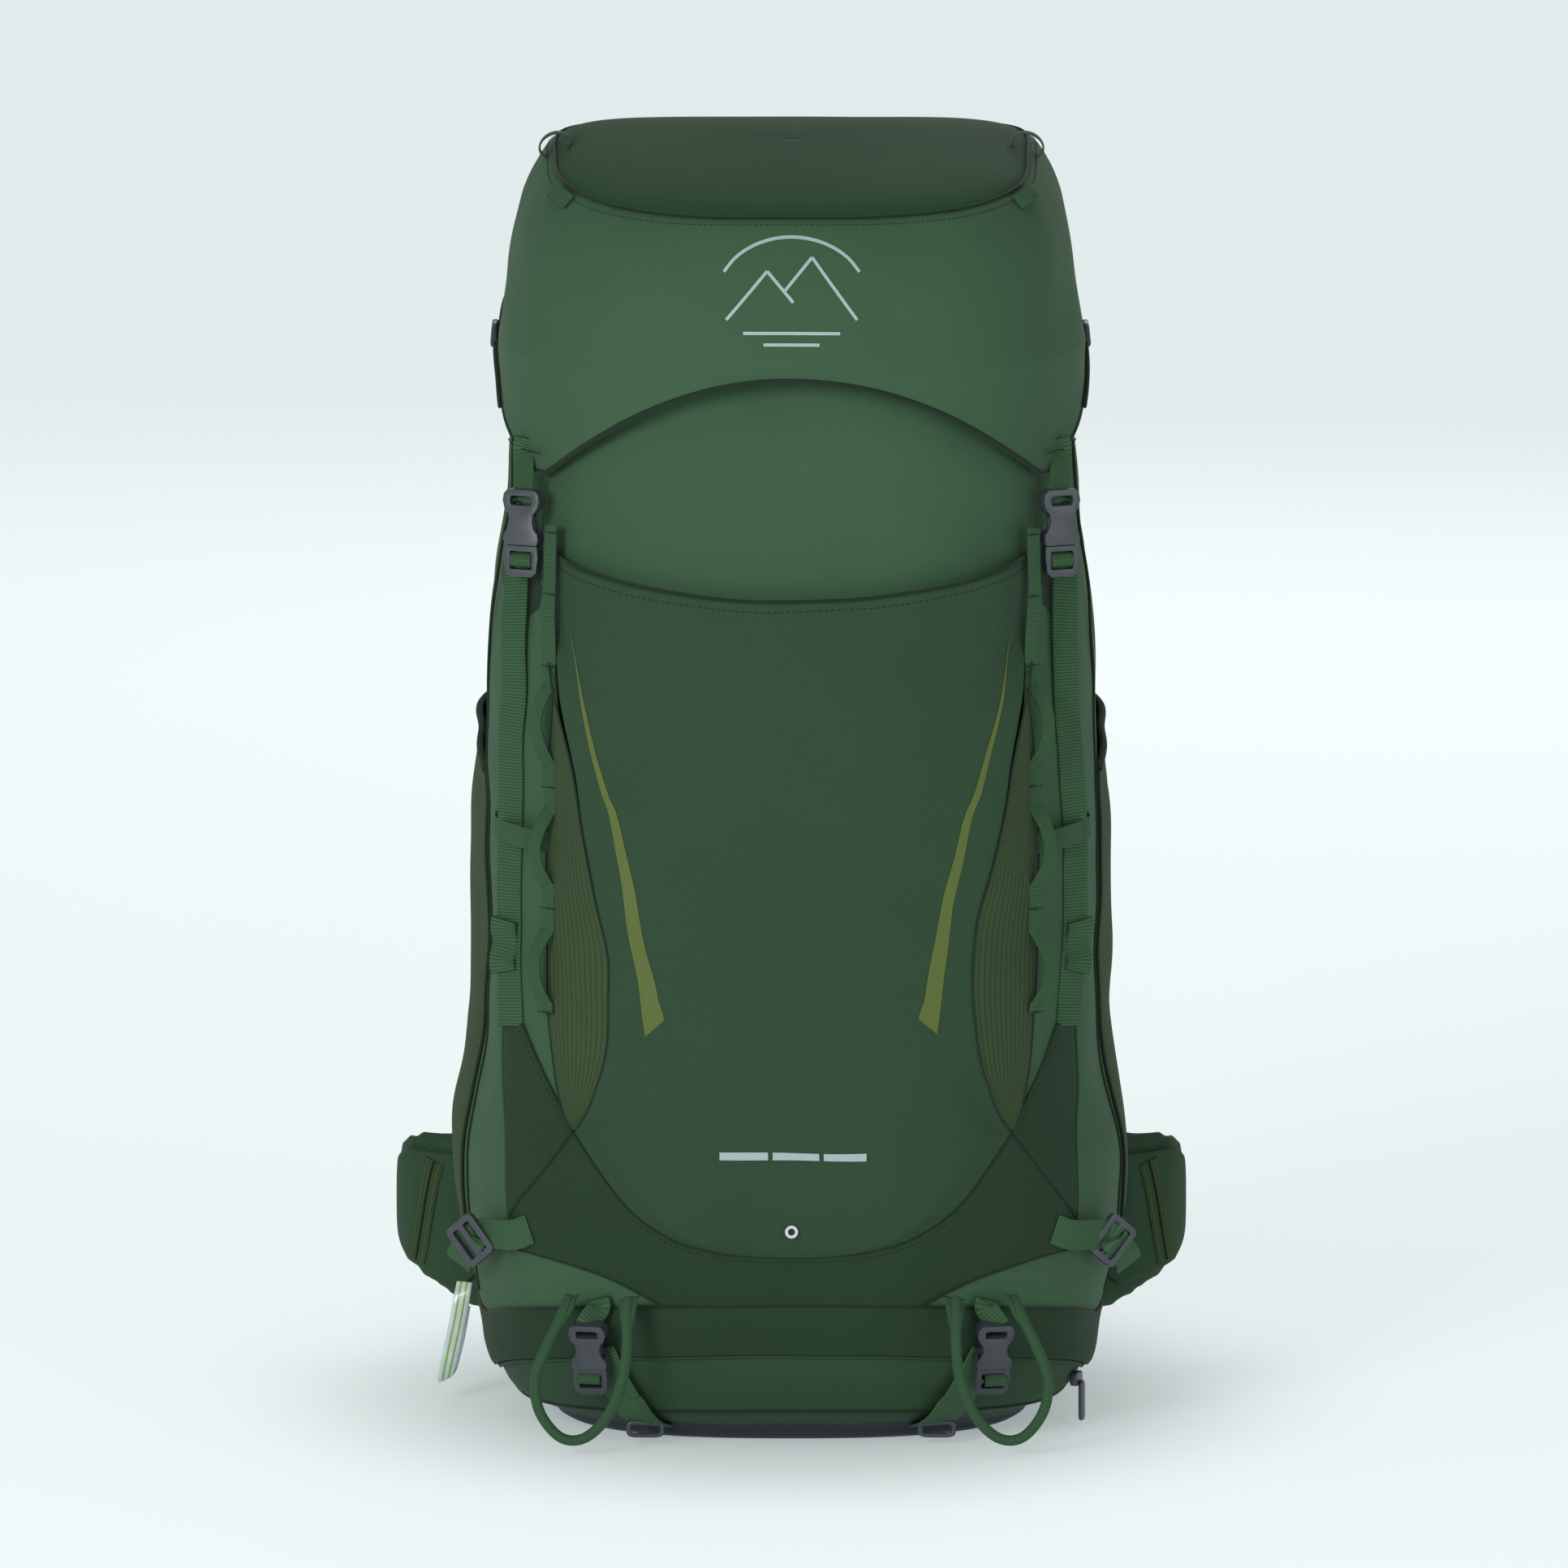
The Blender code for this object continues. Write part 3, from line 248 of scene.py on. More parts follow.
def feed(shader, socket, value):
    """Link a wrapped value to a shader socket."""
    shader.id_data.links.new(value.socket, shader.inputs[socket])


def mix_colour(tree, share, first, second):
    """Colour between two colours, through a Mix node."""
    made = node(tree, "ShaderNodeMix", {"data_type": "RGBA"}, share, out=2)
    for key, value in ((6, first), (7, second)):
        if isinstance(value, Value):
            tree.links.new(value.socket, made.socket.node.inputs[key])
        else:
            made.socket.node.inputs[key].default_value = value
    return made


def shades(colour, low=0.8, high=1.18):
    """The darker and lighter colour of a finish."""
    return tuple(c * low for c in colour) + (1.0,), tuple(c * high for c in colour) + (1.0,)


def bump_of(tree, height, distance, strength=1.0):
    """Normal from a height pattern."""
    return node(tree, "ShaderNodeBump", None, Strength=strength, Distance=distance, Height=height)


def cloth_finish(name, colour, roughness=0.72, sheen=0.02, bump=0.5, pitch=None, flat=True):
    """Woven cloth: crossed threads on the panel's own UV, or on its place where it has none, with broad
    soft colour change."""
    paint, tree, shader = blank(name)
    pitch = pitch or sizes().weave
    where = node(tree, "ShaderNodeTexCoord", out=3)
    u = node(tree, "ShaderNodeSeparateXYZ", None, node(tree, "ShaderNodeUVMap") if flat else where)
    v, w = (Value(tree, u.socket.node.outputs[k]) for k in (1, 2))
    if not flat:
        u, v = u + v * 0.7, w
    across = ((u + v) * (TAU / pitch / 1.41)).sin()
    along = ((u - v) * (TAU / pitch / 1.41)).sin()
    threads = across * along * 0.5 + 0.5
    broad = node(tree, "ShaderNodeTexNoise", None, where, Scale=9.0, Detail=3.0)
    fine = node(tree, "ShaderNodeTexNoise", None, where, Scale=420.0, Detail=1.0)
    dark, light = shades(colour, 0.80, 1.16)
    tone = (threads * 0.30 + broad * 0.55 + fine * 0.25).clamp()
    feed(shader, "Base Color", mix_colour(tree, tone, dark, light))
    feed(shader, "Roughness", broad * 0.14 + (roughness - 0.07))
    feed(shader, "Normal", bump_of(tree, threads + fine * 0.5, pitch * 0.16, bump))
    shader.inputs["Sheen Weight"].default_value = sheen
    shader.inputs["Sheen Roughness"].default_value = 0.45
    shader.inputs["Specular IOR Level"].default_value = 0.14
    return paint


def knit_finish(name, colour):
    """Stretch knit: ribs across the panel with a dark line between them."""
    paint, tree, shader = blank(name)
    pitch = sizes().knit
    place = node(tree, "ShaderNodeUVMap")
    u = node(tree, "ShaderNodeSeparateXYZ", None, place)
    v = Value(tree, u.socket.node.outputs[1])
    wave = (v * (math.pi / pitch)).sin().abs()
    rib = wave ** 0.35
    purl = ((u * (TAU / 0.0011)).sin() * 0.5 + 0.5) * rib
    where = node(tree, "ShaderNodeTexCoord", out=3)
    broad = node(tree, "ShaderNodeTexNoise", None, where, Scale=14.0, Detail=2.0)
    dark, light = shades(colour, 0.36, 1.15)
    tone = (rib * 0.72 + purl * 0.12 + broad * 0.25).clamp()
    feed(shader, "Base Color", mix_colour(tree, tone, dark, light))
    feed(shader, "Roughness", 0.92 - rib * 0.12)
    feed(shader, "Normal", bump_of(tree, rib + purl * 0.3, 0.0005, 0.8))
    shader.inputs["Sheen Weight"].default_value = 0.02
    shader.inputs["Specular IOR Level"].default_value = 0.12
    return paint


def webbing_finish(name, colour, pitch=None, contrast=0.55):
    """Ribbed webbing: ribs across the strap, broken by a lengthwise thread."""
    paint, tree, shader = blank(name)
    pitch = pitch or sizes().rib
    place = node(tree, "ShaderNodeUVMap")
    u = node(tree, "ShaderNodeSeparateXYZ", None, place)
    v = Value(tree, u.socket.node.outputs[1])
    rib = (u * (math.pi / pitch)).sin().abs() ** 0.7
    cross = (v * (TAU / 0.0016)).sin() * 0.5 + 0.5
    where = node(tree, "ShaderNodeTexCoord", out=3)
    fuzz = node(tree, "ShaderNodeTexNoise", None, where, Scale=900.0, Detail=1.0)
    dark, light = shades(colour, contrast, 1.25)
    tone = (rib * 0.75 + cross * 0.10 + fuzz * 0.2).clamp()
    feed(shader, "Base Color", mix_colour(tree, tone, dark, light))
    feed(shader, "Roughness", 0.78 - rib * 0.15)
    feed(shader, "Normal", bump_of(tree, rib + cross * 0.25, 0.0004, 0.9))
    shader.inputs["Sheen Weight"].default_value = 0.02
    shader.inputs["Specular IOR Level"].default_value = 0.16
    return paint


def plastic_finish(name, colour, roughness=0.34):
    """Satin moulding: fine grain, a little wear."""
    paint, tree, shader = blank(name)
    where = node(tree, "ShaderNodeTexCoord", out=3)
    grain = node(tree, "ShaderNodeTexNoise", None, where, Scale=1500.0, Detail=2.0)
    wear = node(tree, "ShaderNodeTexNoise", None, where, Scale=120.0, Detail=4.0)
    dark, light = shades(colour, 0.82, 1.3)
    feed(shader, "Base Color", mix_colour(tree, (wear * 0.9 + grain * 0.2).clamp(), dark, light))
    feed(shader, "Roughness", wear * 0.18 + (roughness - 0.06))
    feed(shader, "Normal", bump_of(tree, grain, 0.0001, 0.35))
    shader.inputs["Specular IOR Level"].default_value = 0.55
    return paint


def mesh_finish(name, colour):
    """Spacer mesh: rows of small round holes over foam."""
    paint, tree, shader = blank(name)
    place = node(tree, "ShaderNodeTexCoord", out=3)
    cells = node(tree, "ShaderNodeTexVoronoi", {"feature": "F1"}, place, Scale=330.0, Randomness=0.25)
    hole = (1.0 - cells * 1.9).clamp()
    broad = node(tree, "ShaderNodeTexNoise", None, place, Scale=12.0, Detail=2.0)
    dark, light = shades(colour, 0.35, 1.5)
    tone = ((1.0 - hole) * 0.8 + broad * 0.3).clamp()
    feed(shader, "Base Color", mix_colour(tree, tone, dark, light))
    feed(shader, "Roughness", hole * 0.1 + 0.82)
    feed(shader, "Normal", bump_of(tree, 1.0 - hole, 0.0006, 0.7))
    shader.inputs["Sheen Weight"].default_value = 0.04
    shader.inputs["Specular IOR Level"].default_value = 0.15
    return paint


def print_finish(name, colour, roughness=0.5):
    """Screen print: even ink with the weave showing faintly through."""
    paint, tree, shader = blank(name)
    where = node(tree, "ShaderNodeTexCoord", out=3)
    worn = node(tree, "ShaderNodeTexNoise", None, where, Scale=700.0, Detail=2.0)
    dark, light = shades(colour, 0.86, 1.06)
    feed(shader, "Base Color", mix_colour(tree, worn, dark, light))
    feed(shader, "Roughness", worn * 0.15 + roughness)
    feed(shader, "Normal", bump_of(tree, worn, 0.0001, 0.4))
    return paint


def metal_finish(name):
    """Bright nickel with faint scratches."""
    paint, tree, shader = blank(name)
    where = node(tree, "ShaderNodeTexCoord", out=3)
    worn = node(tree, "ShaderNodeTexNoise", None, where, Scale=800.0, Detail=3.0)
    feed(shader, "Base Color", mix_colour(tree, worn, (0.55, 0.57, 0.60, 1), (0.82, 0.83, 0.85, 1)))
    feed(shader, "Roughness", worn * 0.2 + 0.15)
    shader.inputs["Metallic"].default_value = 1.0
    return paint


def clear_finish(name):
    """Soft translucent strap with two lime lines along it."""
    paint, tree, shader = blank(name)
    place = node(tree, "ShaderNodeUVMap")
    u = node(tree, "ShaderNodeSeparateXYZ", None, place)
    v = Value(tree, u.socket.node.outputs[1])
    line = (1.0 - ((v.abs() - 0.00165).abs() * 1500.0) ** 4.0).clamp()
    where = node(tree, "ShaderNodeTexCoord", out=3)
    cloud = node(tree, "ShaderNodeTexNoise", None, where, Scale=160.0, Detail=2.0)
    body = mix_colour(tree, cloud, (0.42, 0.52, 0.53, 1), (0.62, 0.72, 0.72, 1))
    feed(shader, "Base Color", mix_colour(tree, line, body, (0.23, 0.36, 0.015, 1)))
    feed(shader, "Roughness", cloud * 0.2 + 0.18)
    shader.inputs["Coat Weight"].default_value = 0.3
    shader.inputs["Subsurface Weight"].default_value = 0.15
    shader.inputs["Subsurface Radius"].default_value = (0.004, 0.004, 0.004)
    return paint


LID_TOP_PAINTED_SHADE = (0.40, 0.62, 0.44)      # painted shade: the lid's top panel is the main cloth darkened per channel, for the shade on its upward face under the low front key light
FINISHES = {}


def finish(key):
    """One shared material for each finish, made when it is first used."""
    if key not in FINISHES:
        tint = colours()
        makers = {
            "cloth": lambda: cloth_finish("pack_cloth", tint.cloth),
            "panel": lambda: cloth_finish("pocket_cloth", [c * 0.60 for c in tint.cloth]),
            # painted shade: a darker copy of the main cloth for the lid's top panel, standing in for the
            # shade on its upward face
            "top": lambda: cloth_finish("lid_top_cloth", [c * k for c, k in zip(tint.cloth, LID_TOP_PAINTED_SHADE)]),
            "dark": lambda: cloth_finish("dark_cloth", tint.dark),
            "soft": lambda: cloth_finish("belt_cloth", [c * 1.55 for c in tint.dark], flat=False),
            "lining": lambda: cloth_finish("lining_cloth", [c * 0.9 for c in tint.dark], 0.6),
            "base": lambda: cloth_finish("base_cloth", tint.base, 0.55, 0.0, 0.7, 0.0016),
            "binding": lambda: cloth_finish("binding_tape", [c * 0.62 for c in tint.dark],
                                            0.7, 0.1, 0.5, 0.0009),
            "knit": lambda: knit_finish("stretch_knit", tint.knit),
            "webbing": lambda: webbing_finish("strap_webbing", tint.webbing),
            "loop": lambda: webbing_finish("loop_webbing", tint.webbing, 0.0011, 0.45),
            "thread": lambda: print_finish("seam_thread", [c * 0.55 for c in tint.dark], 0.7),
            "plastic": lambda: plastic_finish("buckle_plastic", tint.plastic),
            "mark": lambda: print_finish("printed_mark", tint.mark),
            "flash": lambda: print_finish("printed_stripe", tint.flash, 0.55),
            "mesh": lambda: mesh_finish("air_mesh", tint.foam),
            "metal": lambda: metal_finish("bright_nickel"),
            "clear": lambda: clear_finish("clear_strap"),
        }
        FINISHES[key] = makers[key]()
    return FINISHES[key]


# ------------------------------------------------------------------ surfaces
def eased(rows, height):
    """Smooth curve through rows of (position, values): cubic pieces with averaged slopes."""
    table = np.asarray(rows, float)
    knots = table[:, 0]
    height = np.clip(np.asarray(height, float), knots[0], knots[-1])
    slopes = np.gradient(table[:, 1:], knots, axis=0)
    low = np.clip(np.searchsorted(knots, height, side="right") - 1, 0, len(knots) - 2)
    step = (knots[low + 1] - knots[low])[..., None]
    share = ((height - knots[low]) / (knots[low + 1] - knots[low]))[..., None]
    start, end = table[low, 1:], table[low + 1, 1:]
    first = (1 + 2 * share) * (1 - share) ** 2 * start + share * (1 - share) ** 2 * step * slopes[low]
    second = share ** 2 * (3 - 2 * share) * end - share ** 2 * (1 - share) * step * slopes[low + 1]
    return first + second


def superellipse(angle, half_width, front, back):
    """Plan of one level: a power curve with a rounder front half and a squarer back half."""
    cosine, sine = np.cos(angle), np.sin(angle)
    power = np.where(sine < 0, FRONT_POWER, BACK_POWER)
    depth = np.where(sine < 0, front, back)
    x = half_width * np.sign(cosine) * np.abs(cosine) ** (2 / power)
    y = CENTRE_Y + depth * np.sign(sine) * np.abs(sine) ** (2 / power)
    return x, y


def share_table(half_width, front, back):
    """Angles and shares of the half perimeter, measured along one level's plan curve."""
    bend = np.linspace(-1, 1, 4001)
    angle = math.pi / 2 * np.sign(bend) * np.abs(bend) ** 2.2
    x, y = superellipse(angle, half_width, front, back)
    run = np.concatenate(([0.0], np.cumsum(np.hypot(np.diff(x), np.diff(y)))))
    return run / run[-1], angle


BAG_SHARE, BAG_ANGLE = share_table(0.1655, 0.170, BACK_DEPTH)
LID_SHARE, LID_ANGLE = share_table(LID_HALF_WIDTH, LID_FRONT_DEPTH, LID_BACK_DEPTH)


def waves(seed, length, size, count):
    """Seeded set of plane waves for the cloth's unevenness: wave vectors, phases and heights."""
    draw = np.random.default_rng(seed)
    direction = draw.normal(size=(count, 3)) * (1.0, 1.0, 1.7)
    direction /= np.linalg.norm(direction, axis=1, keepdims=True)
    wave = direction * (TAU / (length * draw.uniform(0.7, 1.5, (count, 1))))
    return wave, draw.uniform(0, TAU, count), np.full(count, size / math.sqrt(count))


BROAD_WAVES = waves(11, 0.120, 0.0016, 6)
SMALL_WAVES = waves(23, 0.040, 0.0005, 8)


def relaxed(points):
    """Filled cloth: each point moves away from the upright middle line by a sum of seeded waves."""
    away = points - np.array([0.0, CENTRE_Y, 0.0])
    away[..., 2] = 0
    away /= np.linalg.norm(away, axis=-1, keepdims=True) + 1e-9
    total = sum(np.sin(points @ wave.T + phase) @ size for wave, phase, size in (BROAD_WAVES, SMALL_WAVES))
    return points + away * total[..., None]


def bag_plain(share, height):
    """Bag at a share of the half perimeter (0 front centre, 1 or -1 back centre) and a height."""
    size = eased(BAG_ROWS, height)
    angle = np.interp(np.abs(share), BAG_SHARE, BAG_ANGLE)
    x, y = superellipse(angle, size[..., 0], size[..., 1], BACK_DEPTH)
    return relaxed(np.stack([np.where(share < 0, -x, x), y, height], axis=-1))


def front_plain(x, height):
    """Front half of the bag at a given x and height."""
    size = eased(BAG_ROWS, height)
    share = np.clip(np.abs(x) / size[..., 0], 0, 0.9995)
    y = CENTRE_Y - size[..., 1] * (1 - share ** FRONT_POWER) ** (1 / FRONT_POWER)
    return relaxed(np.stack([x, y, height], axis=-1))


def lifted(surface, first, second, lift):
    """Point and outward normal of a surface raised along its normal by lift."""
    first, second, lift = np.broadcast_arrays(*(np.asarray(a, float) for a in (first, second, lift)))
    step = 2e-4
    here = surface(first, second)
    along = surface(first + step, second) - surface(first - step, second)
    across = surface(first, second + step) - surface(first, second - step)
    normal = np.cross(along, across)
    normal /= np.linalg.norm(normal, axis=-1, keepdims=True) + 1e-12
    away = here - np.array([0.0, CENTRE_Y, 0.0])
    away[..., 2] = 0
    normal *= np.where(np.sum(normal * away, axis=-1, keepdims=True) < 0, -1.0, 1.0)
    return here + normal * lift[..., None], normal


def bag(share, height, lift=0.0):
    """Point and outward normal of the bag, raised by lift."""
    return lifted(bag_plain, share, height, lift)


def front(x, height, lift=0.0):
    """Point and outward normal of the bag's front half at a given x, raised by lift."""
    return lifted(front_plain, x, height, lift)


def lengths(points):
    """Mean distances in metres along both directions of a grid, for its UV."""
    along = np.linalg.norm(np.diff(points, axis=0), axis=-1).mean(axis=1)
    across = np.linalg.norm(np.diff(points, axis=1), axis=-1).mean(axis=0)
    return np.concatenate(([0.0], np.cumsum(along))), np.concatenate(([0.0], np.cumsum(across)))


def surface(name, points, key, body, closed=False, inside=None, rides=True):
    """Mesh of a grid of points: quads in whole arrays, metre UVs, outward faces, smooth shading.
    With closed the first direction closes round."""
    points = np.asarray(points, float)
    nu, nv = points.shape[:2]
    along, across = lengths(points)
    mapped = np.stack(np.meshgrid(along, across, indexing="ij"), -1)
    index = np.arange(nu * nv).reshape(nu, nv)
    if closed:
        index = np.vstack([index, index[:1]])
        mapped = np.concatenate([mapped, mapped[:1] + [[[mapped[-1, 0, 0] * (1 + 1 / nu), 0]]]], axis=0)
    quads = np.stack([index[:-1, :-1], index[1:, :-1], index[1:, 1:], index[:-1, 1:]], -1).reshape(-1, 4)
    corners = np.stack([mapped[:-1, :-1], mapped[1:, :-1], mapped[1:, 1:], mapped[:-1, 1:]], 2)
    corners = corners.reshape(-1, 4, 2)
    flat = points.reshape(-1, 3)
    middle = flat.mean(axis=0) if inside is None else np.asarray(inside, float)
    normal = np.cross(flat[quads[:, 2]] - flat[quads[:, 0]], flat[quads[:, 3]] - flat[quads[:, 1]])
    if np.sum(normal * (flat[quads].mean(axis=1) - middle)) < 0:
        quads, corners = quads[:, ::-1], corners[:, ::-1]
    data = bpy.data.meshes.new(name)
    data.from_pydata(flat.tolist(), [], quads.tolist())
    layer = data.uv_layers.new(name="UVMap")
    layer.data.foreach_set("uv", corners.reshape(-1))
    return finish_piece(name, data, key, body, rides)


def finish_piece(name, data, key, body, rides=True):
    """Object of a mesh, shaded smooth, in its finish, riding on its body."""
    item = bpy.data.objects.new(name, data)
    bpy.context.scene.collection.objects.link(item)
    data.polygons.foreach_set("use_smooth", [True] * len(data.polygons))
    data.materials.append(finish(key))
    if rides:
        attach(item, body)
    return item


def thicken(item, thickness, offset=-1.0):
    """Give an open panel its cloth thickness."""
    wall = item.modifiers.new("thickness", "SOLIDIFY")
    wall.thickness = thickness
    wall.offset = offset
    return item


def curve_through(route, count):
    """Catmull-Rom curve through a short route, read at equal steps."""
    route = np.asarray(route, float)
    padded = np.vstack([2 * route[0] - route[1], route, 2 * route[-1] - route[-2]])
    share = np.linspace(0, 1, 24, endpoint=False)[:, None, None]
    a, b, c, d = (padded[None, k:len(route) - 1 + k] for k in range(4))
    dense = 0.5 * (2 * b + (c - a) * share + (2 * a - 5 * b + 4 * c - d) * share ** 2
                   + (3 * b - a - 3 * c + d) * share ** 3)
    dense = np.vstack([dense.transpose(1, 0, 2).reshape(-1, route.shape[1]), route[-1:]])
    run = np.concatenate(([0.0], np.cumsum(np.linalg.norm(np.diff(dense, axis=0), axis=1))))
    steps = np.linspace(0, run[-1], count)
    return np.stack([np.interp(steps, run, dense[:, k]) for k in range(route.shape[1])], axis=-1)


def unit(vectors):
    """Vectors of length one."""
    return vectors / (np.linalg.norm(vectors, axis=-1, keepdims=True) + 1e-12)


def smooth_step(value, low, high):
    """Eased share from 0 at low to 1 at high: 3s squared less 2s cubed."""
    share = np.clip((value - low) / (high - low), 0, 1)
    return share * share * (3 - 2 * share)


def section_along(name, path, side, out, width, thickness, key, body, power=5.0, count=20, rides=True):
    """A superellipse section carried along a path: side and out are its axes, width and thickness its size.
    The ends shrink to a point so that the piece is closed. UV u runs along the path, v across it."""
    path = np.asarray(path, float)
    steps = len(path)
    side = unit(np.broadcast_to(np.asarray(side, float), path.shape))
    out = unit(np.broadcast_to(np.asarray(out, float), path.shape))
    half = np.broadcast_to(np.asarray(width, float) / 2, (steps,))
    thick = np.broadcast_to(np.asarray(thickness, float) / 2, (steps,))
    angle = np.linspace(0, TAU, count, endpoint=False) + math.pi / count
    across = np.sign(np.cos(angle)) * np.abs(np.cos(angle)) ** (2 / power)
    rise = np.sign(np.sin(angle)) * np.abs(np.sin(angle)) ** (2 / power)
    run = np.concatenate(([0.0], np.cumsum(np.linalg.norm(np.diff(path, axis=0), axis=1))))
    path, side, out = (np.vstack([a[:1], a[:1], a, a[-1:], a[-1:]]) for a in (path, side, out))
    half = np.concatenate([[0, half[0] * 0.96], half, [half[-1] * 0.96, 0]])
    thick = np.concatenate([[0, thick[0] * 0.7], thick, [thick[-1] * 0.7, 0]])
    run = np.concatenate([[0, 0], run, [run[-1]] * 2])
    points = (path[None] + side[None] * (across[:, None] * half[None])[..., None]
              + out[None] * (rise[:, None] * thick[None])[..., None])
    uv = np.stack([np.broadcast_to(run, points.shape[:2]), across[:, None] * half[None]], -1)
    return section_mesh(name, points, uv, key, body, rides)


def section_mesh(name, points, uv, key, body, rides):
    """Closed tube of section points, doubles at its ends merged, normals turned outwards."""
    count, steps = points.shape[:2]
    index = np.arange(count * steps).reshape(count, steps)
    index = np.vstack([index, index[:1]])
    mapped = np.concatenate([uv, uv[:1]], axis=0)
    quads = np.stack([index[:-1, :-1], index[1:, :-1], index[1:, 1:], index[:-1, 1:]], -1).reshape(-1, 4)
    corners = np.stack([mapped[:-1, :-1], mapped[1:, :-1], mapped[1:, 1:], mapped[:-1, 1:]], 2)
    corners = corners.reshape(-1, 4, 2)
    data = bpy.data.meshes.new(name)
    data.from_pydata(points.reshape(-1, 3).tolist(), [], quads.tolist())
    layer = data.uv_layers.new(name="UVMap")
    layer.data.foreach_set("uv", corners.reshape(-1))
    shape = bmesh.new()
    shape.from_mesh(data)
    bmesh.ops.remove_doubles(shape, verts=shape.verts, dist=1e-6)
    bmesh.ops.recalc_face_normals(shape, faces=shape.faces)
    shape.to_mesh(data)
    shape.free()
    return finish_piece(name, data, key, body, rides)


def round_cord(name, path, radius, key, body, count=12, rides=True):
    """A round cord along a path, on axes that turn as little as possible."""
    path = np.asarray(path, float)
    along = unit(np.gradient(path, axis=0))
    guess = np.array([0.0, 0.0, 1.0]) if abs(along[0, 2]) < 0.9 else np.array([1.0, 0.0, 0.0])
    side = np.empty_like(path)
    now = guess
    for k, direction in enumerate(along):
        now = now - direction * now.dot(direction)
        now = now / np.linalg.norm(now)
        side[k] = now
    out = np.cross(along, side)
    return section_along(name, path, side, out, np.asarray(radius) * 2, np.asarray(radius) * 2, key, body,
                         power=2.0, count=count, rides=rides)


def faced(normal, share=0.5):
    """Normals turned part of the way to the front, as taut webbing spans a rounded corner."""
    return unit(unit(normal) * (1 - share) + np.array([0.0, -1.0, 0.0]) * share)


def flat_strap(name, path, normal, width, key, body, thickness=0.0013, count=14, rides=True):
    """Webbing laid on a surface: a flat section whose thin axis is the surface's normal."""
    along = unit(np.gradient(path, axis=0))
    side = unit(np.cross(along, normal))
    return section_along(name, path, side, normal, width, thickness, key, body, power=6.0, count=count,
                         rides=rides)


def stitches(name, path, normal, body, pitch=None, length=0.0022, radius=0.00028, key="thread"):
    """A row of stitches: each is a short four-sided lozenge lying along the path."""
    pitch = pitch or sizes().stitch
    run = np.concatenate(([0.0], np.cumsum(np.linalg.norm(np.diff(path, axis=0), axis=1))))
    spots = np.arange(pitch / 2, run[-1], pitch)
    if len(spots) < 1:
        raise RuntimeError(f"{name}: the seam is shorter than one stitch")
    middle, out, ahead = (np.stack([np.interp(spots, run, a[:, k]) for k in range(3)], -1)
                          for a in (path, np.broadcast_to(normal, path.shape),
                                    unit(np.gradient(path, axis=0))))
    out, ahead = unit(out), unit(ahead)
    side = np.cross(ahead, out)
    offsets = ((-0.5, 0, 0, -0.3), (-0.25, 1, 0, 0.5), (-0.25, 0, 1, 0.6), (-0.25, -1, 0, 0.5),
               (0.25, 1, 0, 0.5), (0.25, 0, 1, 0.6), (0.25, -1, 0, 0.5), (0.5, 0, 0, -0.3))
    points = np.stack([middle + ahead * (a * length) + side * (b * radius) + out * ((c + d) * radius)
                       for a, b, c, d in offsets], axis=1)
    pattern = np.array([(0, 1, 2), (0, 2, 3), (0, 3, 1), (1, 4, 5), (1, 5, 2), (2, 5, 6),
                        (2, 6, 3), (3, 6, 4), (3, 4, 1), (7, 5, 4), (7, 6, 5), (7, 4, 6)])
    faces = (pattern[None] + 8 * np.arange(len(spots))[:, None, None]).reshape(-1, 3)
    data = bpy.data.meshes.new(name)
    data.from_pydata(points.reshape(-1, 3).tolist(), [], faces.tolist())
    shape = bmesh.new()
    shape.from_mesh(data)
    bmesh.ops.recalc_face_normals(shape, faces=shape.faces)
    shape.to_mesh(data)
    shape.free()
    return finish_piece(name, data, key, body)


def replaced(item, *nodes):
    """The piece stands for CAD nodes and takes the first one's material slot."""
    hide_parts(*nodes)
    return item


def moulded(node_name, width=0.0005, key="plastic", segments=2):
    """A moulded piece: the CAD node's solid with its edges rounded."""
    source = frame["nodes"][node_name]
    body = body_of(source)
    body = body[0] if isinstance(body, (list, tuple)) else body
    data = source.data.copy()
    data.name = node_name + "_moulding"
    data.materials.clear()
    shape = bmesh.new()
    shape.from_mesh(data)
    bmesh.ops.remove_doubles(shape, verts=shape.verts, dist=2e-6)
    bmesh.ops.dissolve_limit(shape, angle_limit=math.radians(2), verts=shape.verts, edges=shape.edges)
    shape.to_mesh(data)
    shape.free()
    item = finish_piece(node_name + "_moulding", data, key, body)
    edge = item.modifiers.new("edges", "BEVEL")
    edge.width = width
    edge.segments = segments
    edge.limit_method = "ANGLE"
    edge.angle_limit = math.radians(32)
    edge.harden_normals = True
    return replaced(item, node_name)


